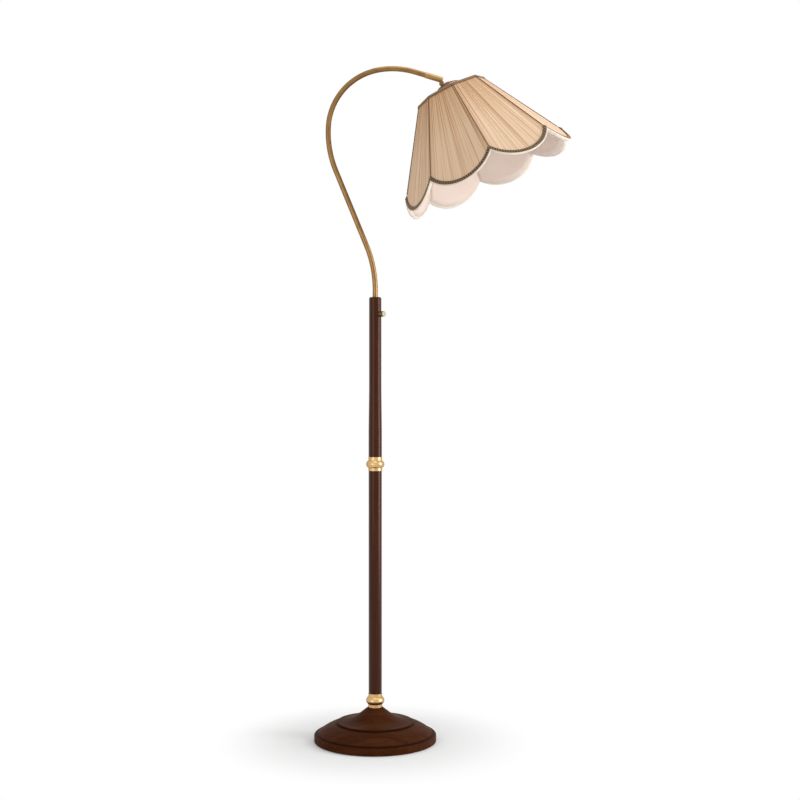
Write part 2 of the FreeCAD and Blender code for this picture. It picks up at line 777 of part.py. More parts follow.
def make_stand_lead():
    """Supply lead from the gland, through the weight's channel and up the poles to the switch."""
    low, bend = size("gland_height"), size("lead_bend")
    top = size(f"{SWITCH_HEIGHT} - switch_radius - seat_clearance")
    start = Vector(0, size("base_radius - gland_length"), low)
    turn_in, turn_out = Vector(0, bend, low), Vector(0, 0, low + bend)
    corner = bend * (1 - math.sqrt(0.5))
    route = Part.Wire([
        Part.LineSegment(start, turn_in).toShape(),
        Part.Arc(turn_in, Vector(0, corner, low + corner), turn_out).toShape(),
        Part.LineSegment(turn_out, Vector(0, 0, top)).toShape(),
    ])
    section = Part.Wire(Part.Circle(start, Vector(0, 1, 0), size("lead_radius")).toShape())
    shaped("stand_lead", route.makePipeShell([section], True, True))


# ------------------------------------------------------------------ shade

def shade_place():
    """The shade's own frame: top ring's centre, +Z back along its axis towards the knuckle."""
    lean = Rotation(Vector(0, 1, 0), -size("shade_tilt"))
    offset = lean.multVec(Vector(-size("pivot_offset"), 0, size("pivot_rise")))
    return Placement(pivot_point() - offset, lean)


def rib_angle(index):
    """The direction of a rib round the shade's axis, in radians."""
    return 2 * math.pi * index / size("panel_count")


def ring_corner(angle, radius, height):
    """A point at a distance from the shade's axis."""
    return Vector(radius * math.cos(angle), radius * math.sin(angle), height)


class Pyramid:
    """The shade's eight-sided pyramid, in its own frame, with its scalloped foot."""

    def __init__(self, inset="0"):
        self.half_angle = math.pi / size("panel_count")
        inward = size(inset) / math.cos(self.half_angle)
        self.top = size("shade_top_radius") - inward
        self.bottom = size("shade_bottom_radius") - inward
        self.height = size("shade_height")
        self.apex = self.top * self.height / (self.bottom - self.top)
        rise = (self.bottom - self.top) * math.cos(self.half_angle)
        self.slant = math.hypot(self.height, rise)
        self.slope = math.atan2(rise, self.height)
        self.low = -(self.height + 1.2 * size("scallop_depth"))

    def scale(self, height):
        """How much wider the pyramid is at a height than at its top ring."""
        return (self.apex - height) / self.apex

    def slab(self, index, outer, inner, high, low, pleats=0):
        """One panel's slab: straight lines through the apex, mitred at the ribs.

        outer and inner are its faces' distances from the panel's plane at the top ring.
        """
        first, last = rib_angle(index), rib_angle(index + 1)
        out = Vector(math.cos((first + last) / 2), math.sin((first + last) / 2), 0)
        grow = math.cos(self.half_angle)

        def ring(height):
            scale = self.scale(height)
            left, right = (ring_corner(a, (self.top + outer / grow) * scale, height) for a in (first, last))
            back_left, back_right = (
                ring_corner(a, (self.top + inner / grow) * scale, height) for a in (first, last)
            )
            corners = [left]
            for fold in range(1, 2 * pleats):
                share = fold / (2 * pleats)
                ridge = size("pleat_depth") * scale if fold % 2 else 0.0
                corners.append(left + (right - left) * share + out * ridge)
            corners += [right, back_right, back_left]
            return Part.makePolygon(corners + [left])

        return Part.makeLoft([ring(high), ring(low)], True, True)

    def panel_frame(self, index):
        """Places a panel's flat outline: X along its foot, Y down its slope, Z outward."""
        middle = (rib_angle(index) + rib_angle(index + 1)) / 2
        out = Vector(math.cos(middle), math.sin(middle), 0)
        along = Vector(-math.sin(middle), math.cos(middle), 0)
        down = out * math.sin(self.slope) - Vector(0, 0, math.cos(self.slope))
        start = out * (self.top * math.cos(self.half_angle))
        square = along.cross(down)
        return Placement(FreeCAD.Matrix(
            along.x, down.x, square.x, start.x,
            along.y, down.y, square.y, start.y,
            along.z, down.z, square.z, start.z,
            0, 0, 0, 1,
        ))

    def scallop_arc(self, rise):
        """The scallop's ends and lowest point in the panel's plane, moved in by rise."""
        half = self.bottom * math.sin(self.half_angle)
        depth = size("scallop_depth")
        radius = (half**2 + depth**2) / (2 * depth)
        centre = self.slant + depth - radius
        inner = radius - rise
        reach = self.half_width_at(centre, inner)
        return [
            Vector(-reach[0], reach[1], 0),
            Vector(0, centre + inner, 0),
            Vector(reach[0], reach[1], 0),
        ]

    def half_width_at(self, centre, radius):
        """Where a scallop's circle crosses the panel's side line."""
        half = self.bottom * math.sin(self.half_angle)
        narrow = self.top * math.sin(self.half_angle)
        gradient = (half - narrow) / self.slant
        # side line x = narrow + gradient * y, circle x^2 + (y - centre)^2 = radius^2
        a = gradient**2 + 1
        b = 2 * (narrow * gradient - centre)
        c = narrow**2 + centre**2 - radius**2
        down = (-b + math.sqrt(b**2 - 4 * a * c)) / (2 * a)
        return narrow + gradient * down, down

    def outline_prism(self, index, rise=0.0, band=None):
        """A tool that keeps a panel's part above its scallop, or a band along the scallop."""
        left, low, right = self.scallop_arc(rise)
        edges = [Part.Arc(left, low, right).toShape()]
        above = -size("scallop_depth") / 2
        through = size("scallop_depth") * 1.5
        if band is None:
            wide = 1.5 * right.x
            corners = [right, Vector(wide, right.y, 0), Vector(wide, above, 0), Vector(-wide, above, 0),
                       Vector(-wide, left.y, 0), left]
        else:
            left_in, low_in, right_in = self.scallop_arc(rise + band)
            edges.append(Part.Arc(right_in, low_in, left_in).toShape())
            edges.append(Part.LineSegment(right, right_in).toShape())
            corners = [left_in, left]
        edges += [Part.LineSegment(a, b).toShape() for a, b in zip(corners, corners[1:])]
        face = Part.Face(Part.Wire(Part.__sortEdges__(edges)))
        prism = face.extrude(Vector(0, 0, through))
        prism.translate(Vector(0, 0, -through / 2))
        prism.Placement = self.panel_frame(index) * prism.Placement
        return prism


def make_cover():
    """Pleated panels, the braid on their scallops, the binding at the top and the rib piping."""
    pyramid = Pyramid()
    place = shade_place()
    count = int(size("panel_count"))
    pleats = int(size("pleat_count"))
    cloth, depth = size("cloth_thickness"), size("pleat_depth")
    braid, binding = [], []
    for index in range(count):
        slab = pyramid.slab(index, 0.0, -cloth, 0.0, pyramid.low, pleats)
        shaped(f"pleated_panel_{index + 1}", slab.common(pyramid.outline_prism(index)), place)
        foot_scale = pyramid.scale(-pyramid.height)
        on_ridges = depth + size("running_clearance")
        band = pyramid.slab(index, on_ridges + size("braid_thickness") / foot_scale, on_ridges,
                            -pyramid.height / 2, pyramid.low)
        braid.append(band.common(pyramid.outline_prism(index, 0.0, size("braid_width"))))
        low = -size("binding_width") * math.cos(pyramid.slope)
        binding.append(pyramid.slab(index, on_ridges + size("binding_thickness"), on_ridges, 0.0, low))
    shaped("scallop_braid", Part.makeCompound(braid), place)
    shaped("top_binding", Part.makeCompound(binding), place)
    piping = []
    radius = size("piping_radius")
    for index in range(count):
        angle = rib_angle(index)
        top_height = -size("binding_width") - radius
        low_height = -(pyramid.height - 1.2 * size("braid_width"))
        ends = [
            ring_corner(angle, pyramid.top * pyramid.scale(level) + 2 * radius, level)
            for level in (top_height, low_height)
        ]
        run = ends[1] - ends[0]
        piping.append(Part.makeCylinder(radius, run.Length, ends[0], run))
    shaped("rib_piping", Part.makeCompound(piping), place)


def make_lining():
    """Smooth lining inside the frame, with the same scallops."""
    pyramid = Pyramid("lining_gap")
    thickness = size("lining_thickness")
    pieces = [
        pyramid.slab(index, 0.0, -thickness, -1.0, pyramid.low)
        .common(pyramid.outline_prism(index, 1.0))
        for index in range(int(size("panel_count")))
    ]
    shaped("shade_lining", Part.makeCompound(pieces), shade_place())


def make_frame():
    """Steel wire frame between the cover and the lining: top ring, ribs, scalloped foot and welds."""
    pyramid = Pyramid("frame_gap")
    wire = size("frame_wire_radius")
    weld = size("frame_weld_radius")
    level = -weld - size("seat_clearance")
    left, low, right = pyramid.scallop_arc(2 * wire)
    pieces = []
    for index in range(int(size("panel_count"))):
        panel = pyramid.panel_frame(index)
        top, top_next = (
            ring_corner(rib_angle(number), pyramid.top * pyramid.scale(level), level)
            for number in (index, index + 1)
        )
        foot = panel.multVec(left)
        for start, end in ((top, top_next), (top, foot)):
            pieces.append(Part.makeCylinder(wire, (end - start).Length, start, end - start))
        pieces += [Part.makeSphere(weld, top), Part.makeSphere(weld, foot)]
        bow = Part.Arc(left, low, right).toShape()
        centre = bow.Curve.Center
        facing = (left - centre).cross(Vector(0, 0, 1))
        section = Part.Face(Part.Wire(Part.Circle(left, facing, wire).toShape()))
        sweep = math.degrees((left - centre).getAngle(right - centre))
        hoop = section.revolve(centre, Vector(0, 0, -1), sweep)
        hoop.Placement = panel
        pieces.append(hoop)
    shaped("shade_frame", pieces[0].multiFuse(pieces[1:]), shade_place())


def make_holder():
    """Brass cap with its tongue, lampholder, shade ring, spider and bulb."""
    place = shade_place()
    lower = "cap_rim_height"
    cap = document.addObject("PartDesign::Body", "cap_shell")
    revolve(cap, "cap_turning", [
        (THREAD_RADIUS, "cap_crown_height - cap_wall"),
        ("cap_crown_radius", "cap_crown_height - cap_wall"),
        ("cap_shoulder_radius - cap_wall", "cap_shoulder_height - cap_wall / 2"),
        ("cap_rim_radius - cap_wall", "cap_shoulder_height - 5"),
        ("cap_rim_radius - cap_wall", lower),
        ("cap_rim_radius", lower),
        ("cap_rim_radius", "cap_shoulder_height - 4", "3 * (cap_rim_radius - cap_shoulder_radius)", -1),
        ("cap_shoulder_radius", "cap_shoulder_height", "cap_rim_radius", -1),
        ("cap_crown_radius", "cap_crown_height"),
        ("cap_boss_radius", "cap_crown_height"),
        ("cap_boss_radius", "cap_boss_top"),
        (THREAD_RADIUS, "cap_boss_top"),
    ])
    cap.Placement = place
    sideways = Rotation(Vector(1, 0, 0), -90)
    centre = Vector(-size("pivot_offset"), 0, size("pivot_rise"))
    half = size("tongue_thickness") / 2
    disc = rod("tongue_disc", "tongue_radius", "tongue_thickness",
               place * Placement(centre - Vector(0, half, 0), sideways))
    stem_foot = "cap_crown_height - cap_wall / 2"
    stem = block(
        "tongue_stem", "tongue_stem_width", "tongue_thickness", f"pivot_rise - ({stem_foot})",
        place * Placement(
            Vector(centre.x - size("tongue_stem_width") / 2, -half, size(stem_foot)), Rotation()
        ),
    )
    hole = rod("tongue_hole", "pivot_radius + running_clearance", "tongue_thickness + 2",
               place * Placement(centre - Vector(0, half + 1, 0), sideways))
    node(cut("shade_cap", joined("shade_cap", cap, disc, stem), hole), "shade_cap")

    nipple = tube("holder_nipple", "rod_radius", "rod_bore_radius", "holder_cup_top - 5",
                  "cap_boss_top")
    nipple.Placement = place
    node(nipple, "holder_nipple")

    shoulder_foot = "spider_thickness + thread_clearance"
    holder = turned("lampholder_body", [
        (THREAD_RADIUS, "holder_cup_top"),
        (THREAD_RADIUS, "contact_height"),
        ("holder_bore_radius", "contact_height"),
        ("holder_bore_radius", "-holder_skirt_length"),
        ("holder_skirt_radius", "-holder_skirt_length"),
        ("holder_skirt_radius", shoulder_foot),
        ("holder_shoulder_radius", shoulder_foot),
        ("holder_shoulder_radius", f"{shoulder_foot} + holder_shoulder"),
        ("holder_cup_radius", f"{shoulder_foot} + holder_shoulder"),
        ("holder_cup_radius", "holder_cup_top - 2"),
        ("holder_cup_radius - 2", "holder_cup_top"),
    ])
    holder.Placement = place
    node(holder, "lampholder_body")
    contact = turned("holder_contact", [
        ("0", "0"),
        ("contact_radius", "0"),
        ("contact_radius", "contact_height"),
        ("0", "contact_height"),
    ])
    contact.Placement = place
    node(contact, "holder_contact")
    ring = tube("holder_ring", "holder_ring_radius", "holder_skirt_radius + running_clearance",
                "-holder_ring_height - thread_clearance", "-thread_clearance")
    ring.Placement = place
    node(ring, "holder_ring")

    spider_ring = tube("spider_ring", "holder_skirt_radius + running_clearance + spider_ring_width",
                       "holder_skirt_radius + running_clearance", "0", "spider_thickness")
    arms = []
    inner = "holder_skirt_radius + spider_ring_width / 2"
    outer = (
        "shade_top_radius - (cloth_thickness + 2 * frame_wire_radius + seat_clearance)"
        " / cos(180 / panel_count)"
    )
    for number in range(int(size("spider_arms"))):
        turn = Placement(
            Vector(0, 0, 0), Rotation(Vector(0, 0, 1), FULL_TURN * number / size("spider_arms"))
        )
        arms.append(block(
            f"spider_arm_{number + 1}", f"{outer} - ({inner})", "spider_arm_width", "spider_thickness",
            turn * Placement(Vector(size(inner), -size("spider_arm_width") / 2, 0), Rotation()),
        ))
    spider = joined("shade_spider", spider_ring, *arms)
    spider.Placement = place
    node(spider, "shade_spider")

    cap_top = "-thread_clearance"
    bulb_cap = turned("bulb_cap", [
        ("0", cap_top),
        ("contact_radius", cap_top),
        ("bulb_cap_radius", f"{cap_top} - bulb_tip_height"),
        ("bulb_cap_radius", f"{cap_top} - bulb_tip_height - bulb_cap_length"),
        ("0", f"{cap_top} - bulb_tip_height - bulb_cap_length"),
    ])
    bulb_cap.Placement = place
    node(bulb_cap, "bulb_cap")
    glass_top = f"{cap_top} - bulb_tip_height - bulb_cap_length"
    outside = turned("bulb_outside", [
        ("0", glass_top),
        ("bulb_neck_radius", glass_top),
        ("bulb_neck_radius", f"{glass_top} - bulb_neck_length"),
        ("bulb_radius", f"{glass_top} + bulb_radius - bulb_length", "bulb_radius", 1),
        ("0", f"{glass_top} - bulb_length"),
    ])
    inside = turned("bulb_inside", [
        ("0", f"{glass_top} - bulb_wall"),
        ("bulb_neck_radius - bulb_wall", f"{glass_top} - bulb_wall"),
        ("bulb_neck_radius - bulb_wall", f"{glass_top} - bulb_neck_length"),
        ("bulb_radius - bulb_wall", f"{glass_top} + bulb_radius - bulb_length", "bulb_radius - bulb_wall", 1),
        ("0", f"{glass_top} - bulb_length + bulb_wall"),
    ])
    glass = cut("bulb_glass", outside, inside)
    glass.Placement = place
    node(glass, "bulb_glass")


def report_axes():
    """Prints where the lamp's three joints turn."""
    print("pivot", pivot_point(), "shade", shade_place())
    print("switch", switch_place("0").Base, switch_place("1").Base - switch_place("0").Base)


def check_and_write():
    """Stops on any failed object, then writes each piece to its own file."""
    document.recompute()
    for feature in document.Objects:
        if "Invalid" in feature.State or "Error" in feature.State:
            raise RuntimeError(f"{feature.Label} did not build: {feature.State}")
    os.makedirs("parts", exist_ok=True)
    for feature in NODES:
        shape = feature.Shape
        if shape.isNull() or not shape.isValid() or not shape.Solids:
            raise RuntimeError(f"{feature.Label} is not a sound solid")
        shape.exportStep(f"parts/{feature.Label}.step")
        print(f"{feature.Label}: {len(shape.Solids)} solids, {shape.Volume:.0f} mm3")


make_base()
make_pole()
make_bearing()
make_switch()
make_arm()
make_stand_lead()
make_cover()
make_lining()
make_frame()
make_holder()
report_axes()
check_and_write()
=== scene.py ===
"""Looks of the bridge floor lamp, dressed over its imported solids.  Metres, +Z up."""

import logging
import math
import random
from dataclasses import dataclass
from enum import Enum
from typing import ClassVar

import bmesh
import bpy
import numpy as np
from mathutils import Matrix, Vector


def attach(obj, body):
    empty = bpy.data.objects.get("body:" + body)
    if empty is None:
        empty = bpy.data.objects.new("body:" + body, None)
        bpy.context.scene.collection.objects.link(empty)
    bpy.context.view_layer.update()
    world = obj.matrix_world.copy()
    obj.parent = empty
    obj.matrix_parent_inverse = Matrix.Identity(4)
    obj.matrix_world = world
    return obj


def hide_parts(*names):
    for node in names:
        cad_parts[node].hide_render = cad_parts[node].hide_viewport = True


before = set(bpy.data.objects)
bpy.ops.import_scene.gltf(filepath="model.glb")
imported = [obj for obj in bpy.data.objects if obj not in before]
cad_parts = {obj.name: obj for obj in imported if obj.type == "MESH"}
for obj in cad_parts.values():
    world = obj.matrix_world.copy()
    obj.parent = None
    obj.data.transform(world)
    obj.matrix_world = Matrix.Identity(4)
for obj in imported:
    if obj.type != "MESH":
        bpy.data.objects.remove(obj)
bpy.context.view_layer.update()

log = logging.getLogger("lamp")
MM = 0.001
Triple = tuple[float, float, float]
Colour = Triple
WHITE: Colour = (1.0, 1.0, 1.0)
BLACK: Colour = (0.0, 0.0, 0.0)
EVEN: Triple = (1.0, 1.0, 1.0)


# ------------------------------------------------------------------ shader and mesh helpers


class Shader:
    """One material's node tree around a single Principled shader."""

    def __init__(self, name: str, **sockets: float | tuple) -> None:
        """Starts the material.

        Args:
            name: the material's name.
            sockets: Principled inputs, spaces written as underscores.
        """
        self.material = bpy.data.materials.new(name)
        self.material.use_nodes = True
        self.tree = self.material.node_tree
        self.surface = self.tree.nodes["Principled BSDF"]
        for key, value in sockets.items():
            self.surface.inputs[key.replace("_", " ")].default_value = value

    def add(self, kind: str, **settings: object) -> bpy.types.Node:
        """Adds a node and sets its properties.

        Args:
            kind: the node type without its ShaderNode prefix.
            settings: properties of the node.

        Returns:
            The new node.
        """
        made = self.tree.nodes.new("ShaderNode" + kind)
        for key, value in settings.items():
            setattr(made, key, value)
        return made

    def join(self, source: bpy.types.NodeSocket, target: bpy.types.NodeSocket) -> None:
        """Links one socket to another."""
        self.tree.links.new(source, target)

    def coordinates(self, scale: Triple = EVEN, uv: bool = False) -> bpy.types.NodeSocket:
        """Stretched pattern coordinates.

        Args:
            scale: how far the pattern is squeezed along each axis.
            uv: reads the piece's own UV map in place of its Object coordinates.

        Returns:
            The mapped vector.
        """
        place = self.add("TexCoord").outputs["UV" if uv else "Object"]
        mapping = self.add("Mapping")
        mapping.inputs["Scale"].default_value = scale
        self.join(place, mapping.inputs["Vector"])
        return mapping.outputs["Vector"]

    def noise(self, vector: bpy.types.NodeSocket, scale: float, detail: float = 4.0,
              roughness: float = 0.55, distortion: float = 0.0) -> bpy.types.NodeSocket:
        """A noise pattern.

        Args:
            vector: the coordinates it reads.
            scale: repeats to the metre.
            detail: octaves.
            roughness: how strong the finer octaves are.
            distortion: how far it is swirled.

        Returns:
            The pattern's value, from 0 to 1.
        """
        made = self.add("TexNoise")
        for key, value in (("Scale", scale), ("Detail", detail), ("Roughness", roughness),
                           ("Distortion", distortion)):
            made.inputs[key].default_value = value
        self.join(vector, made.inputs["Vector"])
        return made.outputs["Fac"]

    def wave(self, vector: bpy.types.NodeSocket, scale: float, axis: str = "X",
             distortion: float = 0.0) -> bpy.types.NodeSocket:
        """A band pattern of threads or tool marks.

        Args:
            vector: the coordinates it reads.
            scale: its frequency.
            axis: the axis that the bands repeat along.
            distortion: how far the bands wander.

        Returns:
            The pattern's value, from 0 to 1.
        """
        made = self.add("TexWave", bands_direction=axis)
        made.inputs["Scale"].default_value = scale
        made.inputs["Distortion"].default_value = distortion
        self.join(vector, made.inputs["Vector"])
        return made.outputs["Fac"]

    def ramp(self, value: bpy.types.NodeSocket, *stops: tuple[float, Colour]) -> bpy.types.NodeSocket:
        """Colours along a value.

        Args:
            value: where to read.
            stops: pairs of place and colour.

        Returns:
            The colour.
        """
        made = self.add("ValToRGB")
        elements = made.color_ramp.elements
        while len(elements) < len(stops):
            elements.new(0.5)
        for element, (place, colour) in zip(elements, stops):
            element.position = place
            element.color = (*colour, 1.0)
        self.join(value, made.inputs["Fac"])
        return made.outputs["Color"]

    def mix(self, factor: bpy.types.NodeSocket | float, first: bpy.types.NodeSocket | Colour,
            second: bpy.types.NodeSocket | Colour, blend: str = "MIX") -> bpy.types.NodeSocket:
        """Two colours mixed.

        Args:
            factor: the second colour's share.
            first: one colour.
            second: the other colour.
            blend: the way they mix.

        Returns:
            The mixed colour.
        """
        made = self.add("Mix", data_type="RGBA", blend_type=blend)
        sockets = [next(s for s in made.inputs if s.identifier == key)
                   for key in ("Factor_Float", "A_Color", "B_Color")]
        for socket, value in zip(sockets, (factor, first, second)):
            if isinstance(value, bpy.types.NodeSocket):
                self.join(value, socket)
            else:
                socket.default_value = (*value, 1.0) if isinstance(value, tuple) else value
        return next(s for s in made.outputs if s.identifier == "Result_Color")

    def range(self, value: bpy.types.NodeSocket, low: float, high: float) -> bpy.types.NodeSocket:
        """A value from 0 to 1 spread from low to high.

        Args:
            value: the value.
            low: what 0 becomes.
            high: what 1 becomes.

        Returns:
            The spread value.
        """
        made = self.add("MapRange")
        made.inputs["To Min"].default_value = low
        made.inputs["To Max"].default_value = high
        self.join(value, made.inputs["Value"])
        return made.outputs["Result"]

    def attribute(self, name: str) -> bpy.types.NodeSocket:
        """The value of a mesh attribute."""
        return self.add("Attribute", attribute_name=name).outputs["Fac"]

    def along(self, direction: Triple, uv: bool = False) -> bpy.types.NodeSocket:
        """How far a place lies along a direction.

        Args:
            direction: the direction, one long.
            uv: reads the piece's own UV map in place of its Object coordinates.

        Returns:
            The distance, in metres.
        """
        made = self.add("VectorMath", operation="DOT_PRODUCT")
        made.inputs[1].default_value = direction
        self.join(self.add("TexCoord").outputs["UV" if uv else "Object"], made.inputs[0])
        return made.outputs["Value"]

    def reach(self) -> bpy.types.NodeSocket:
        """How far a place lies from the lamp's upright axis.

        Returns:
            The distance, in metres.
        """
        flat = self.add("VectorMath", operation="MULTIPLY")
        flat.inputs[1].default_value = (1.0, 1.0, 0.0)
        self.join(self.add("TexCoord").outputs["Object"], flat.inputs[0])
        made = self.add("VectorMath", operation="LENGTH")
        self.join(flat.outputs["Vector"], made.inputs[0])
        return made.outputs["Value"]

    def colour(self, socket: bpy.types.NodeSocket) -> None:
        """Drives the base colour."""
        self.join(socket, self.surface.inputs["Base Color"])

    def roughness(self, socket: bpy.types.NodeSocket) -> None:
        """Drives the roughness."""
        self.join(socket, self.surface.inputs["Roughness"])

    def bump(self, *layers: tuple[bpy.types.NodeSocket, float, float]) -> None:
        """Relief in layers.

        Args:
            layers: each a height, its strength and its depth in millimetres.
        """
        below = None
        for height, strength, depth in layers:
            made = self.add("Bump")
            made.inputs["Strength"].default_value = strength
            made.inputs["Distance"].default_value = depth * MM
            self.join(height, made.inputs["Height"])
            if below is not None:
                self.join(below, made.inputs["Normal"])
            below = made.outputs["Normal"]
        self.join(below, self.surface.inputs["Normal"])


def link_object(name: str, data: bpy.types.ID) -> bpy.types.Object:
    """Puts a mesh, lamp or camera in the scene.

    Args:
        name: the object's name.
        data: what it holds.

    Returns:
        The object, at the origin.
    """
    made = bpy.data.objects.new(name, data)
    bpy.context.scene.collection.objects.link(made)
    return made


def new_piece(name: str, points: np.ndarray, faces: list[tuple[int, ...]],
              material: bpy.types.Material, uv: np.ndarray | None = None) -> bpy.types.Object:
    """A mesh object at the origin, with its place in its mesh.

    Args:
        name: the piece's name.
        points: its points, in metres.
        faces: its faces, as point numbers.
        material: its finish.
        uv: a UV pair for each point, in metres.

    Returns:
        The linked object.
    """
    mesh = bpy.data.meshes.new(name)
    mesh.from_pydata([tuple(p) for p in points], [], faces)
    if uv is not None:
        layer = mesh.uv_layers.new(name="UVMap")
        corners = np.zeros(len(mesh.loops), np.int32)
        mesh.loops.foreach_get("vertex_index", corners)
        layer.data.foreach_set("uv", uv[corners].astype(np.float32).ravel())
    mesh.polygons.foreach_set("use_smooth", [True] * len(mesh.polygons))
    mesh.materials.append(material)
    mesh.update()
    return link_object(name, mesh)


def grid_faces(rows: int, columns: int, closed: bool = False, start: int = 0) -> list[tuple[int, ...]]:
    """Quads over a grid of points.

    Args:
        rows: how many rows of points.
        columns: how many points to a row.
        closed: joins each row's last point to its first.
        start: the first point's number.

    Returns:
        The faces.
    """
    faces = []
    for row in range(rows - 1):
        for column in range(columns if closed else columns - 1):
            following = (column + 1) % columns
            a, b = start + row * columns + column, start + row * columns + following
            faces.append((a, a + columns, b + columns, b))
    return faces


def closed_band(name: str, rings: np.ndarray, cell: tuple[float, float],
                material: bpy.types.Material) -> bpy.types.Object:
    """A band that closes on itself, from its cross-sections.

    Args:
        name: the piece's name.
        rings: the points of each cross-section, in order along the band.
        cell: a face's size in the UV map, along the band and around it.
        material: its finish.

    Returns:
        The band.
    """
    count, around = rings.shape[:2]
    faces = []
    for ring in range(count):
        here, following = ring * around, (ring + 1) % count * around
        for corner in range(around):
            after = (corner + 1) % around
            faces.append((here + corner, here + after, following + after, following + corner))
    uv = np.array([(ring * cell[0], corner * cell[1]) for ring in range(count) for corner in range(around)])
    made = new_piece(name, rings.reshape(-1, 3), faces, material, uv)
    face_outward(made)
    return made


def face_outward(piece: bpy.types.Object) -> None:
    """Turns a closed mesh's faces outward.

    Args:
        piece: the piece.
    """
    form = bmesh.new()
    form.from_mesh(piece.data)
    bmesh.ops.recalc_face_normals(form, faces=form.faces)
    form.to_mesh(piece.data)
    form.free()


def weld(piece: bpy.types.Object, distance: float = 0.05) -> None:
    """Merges the points that neighbouring panels share.

    Args:
        piece: the piece.
        distance: how far apart they may be, in millimetres.
    """
    form = bmesh.new()
    form.from_mesh(piece.data)
    bmesh.ops.remove_doubles(form, verts=form.verts, dist=distance * MM)
    form.to_mesh(piece.data)
    form.free()


def settled_mesh(piece: bpy.types.Object) -> bpy.types.Mesh:
    """What a piece's modifiers make of it.

    Args:
        piece: the piece.

    Returns:
        The plain mesh.
    """
    bpy.context.view_layer.update()
    seen = piece.evaluated_get(bpy.context.evaluated_depsgraph_get())
    return bpy.data.meshes.new_from_object(seen)


def thicken(piece: bpy.types.Object, thickness: float) -> None:
    """Gives a sheet its thickness behind its outer face, as plain mesh.

    Args:
        piece: the sheet.
        thickness: in millimetres.
    """
    modifier = piece.modifiers.new("thickness", "SOLIDIFY")
    modifier.thickness = thickness * MM
    modifier.offset = -1.0
    solid = settled_mesh(piece)
    piece.modifiers.clear()
    piece.data = solid


def dress(piece: bpy.types.Object, body: str, slot: str, *nodes: str) -> bpy.types.Object:
    """Makes a piece ride on a body and stand for its nodes.

    Args:
        piece: the piece.
        body: the body that it rides on.
        slot: the record's material slot; not used.
        nodes: the nodes that it stands for.

    Returns:
        The piece.
    """
    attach(piece, body)
    if nodes:
        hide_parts(*nodes)
    log.info("%s rides on %s: %d faces", piece.name, body, len(piece.data.polygons))
    return piece


# ------------------------------------------------------------------ finishes


class Grain(Enum):
    """Which way the wood's grain runs: how far its figure is squeezed along X, Y and Z."""

    UPRIGHT = (1.0, 1.0, 0.05)
    ACROSS = (0.07, 1.0, 1.0)


@dataclass(frozen=True)
class Walnut:
    """Turned walnut under satin lacquer, with painted shade darkening its turned grooves.

    Each groove is its inner and outer radius, in metres; figure, pores and patches are repeats to the metre.
    """

    grain: Grain
    grooves: tuple[tuple[float, float], ...] = ()
    gloss: float = 0.40
    smooth: float = 0.17
    dark: Colour = (0.018, 0.0036, 0.0013)
    middle: Colour = (0.030, 0.0066, 0.0024)
    light: Colour = (0.050, 0.0122, 0.0045)
    lacquer: Colour = (1.0, 0.50, 0.36)
    pore: Colour = (0.55, 0.50, 0.48)
    painted_groove_shade: Colour = (0.26, 0.22, 0.22)
    groove_edge: float = 0.0004
    figure: float = 55.0
    pores: float = 900.0
    patches: float = 240.0
    patchiness: float = 0.10

    def make(self) -> bpy.types.Material:
        """Builds the finish.

        Returns:
            The material.
        """
        shader = Shader("walnut_" + self.grain.name.lower(), Specular_IOR_Level=self.gloss,
                        Specular_Tint=(*self.lacquer, 1.0))
        along = shader.coordinates(self.grain.value)
        figure = shader.noise(along, self.figure, detail=6.0, roughness=0.6, distortion=1.1)
        pores = shader.noise(along, self.pores, detail=3.0, roughness=0.6)
        colour = shader.ramp(figure, (0.28, self.dark), (0.50, self.middle), (0.74, self.light))
        fine = shader.ramp(pores, (0.36, self.pore), (0.50, WHITE))
        colour = shader.mix(0.75, colour, fine, "MULTIPLY")
        # painted shade: the colour is darkened in each turned groove
        for inner, outer in self.grooves:
            shade = shader.ramp(shader.reach(), (inner, WHITE), (inner + self.groove_edge, self.painted_groove_shade),
                                (outer - self.groove_edge, self.painted_groove_shade), (outer, WHITE))
            colour = shader.mix(1.0, colour, shade, "MULTIPLY")
        shader.colour(colour)
        patches = shader.noise(along, self.patches)
        shader.roughness(shader.range(patches, self.smooth, self.smooth + self.patchiness))
        shader.bump((figure, 0.01, 0.10))
        return shader.material


@dataclass(frozen=True)
class Brass:
    """Satin brass, darkened a little in random stains; its darker copies also hold painted shade in their
    colours.

    Where it has a face, that is a turned end's direction, and the brass further along it than face_start, in
    metres, is paler: partly its polish and partly a painted highlight.
    """

    name: str
    bright: Colour = (0.68, 0.455, 0.205)
    stain_and_shade: Colour = (0.56, 0.345, 0.135)
    smooth: float = 0.30
    rough: float = 0.38
    face: Triple | None = None
    face_start: float = 0.0243
    face_edge: float = 0.0007
    polish_and_highlight: Colour = (0.980, 0.830, 0.520)
    grazing: Colour = (0.42, 0.26, 0.14)
    stains: float = 38.0
    patches: float = 160.0
    tool_lines: float = 2600.0

    def make(self) -> bpy.types.Material:
        """Builds the finish.

        Returns:
            The material.
        """
        # painted shade: the grazing tint darkens the reflection towards the edges
        shader = Shader(self.name, Metallic=1.0, Specular_Tint=(*self.grazing, 1.0), Coat_Weight=0.45,
                        Coat_Roughness=0.28)
        place = shader.coordinates()
        stains = shader.noise(place, self.stains, detail=5.0, roughness=0.6, distortion=0.4)
        colour = shader.ramp(stains, (0.34, self.stain_and_shade), (0.62, self.bright))
        # painted highlight: the turned end face is coloured pale, partly for its real polish
        if self.face is not None:
            end = shader.ramp(shader.along(self.face), (self.face_start, BLACK),
                              (self.face_start + self.face_edge, WHITE))
            colour = shader.mix(end, colour, self.polish_and_highlight)
        shader.colour(colour)
        lines = shader.noise(shader.coordinates((0.10, 0.10, 1.0)), self.tool_lines, detail=2.0)
        shader.roughness(shader.range(shader.noise(place, self.patches), self.smooth, self.rough))
        shader.bump((lines, 0.015, 0.005))
        return shader.material


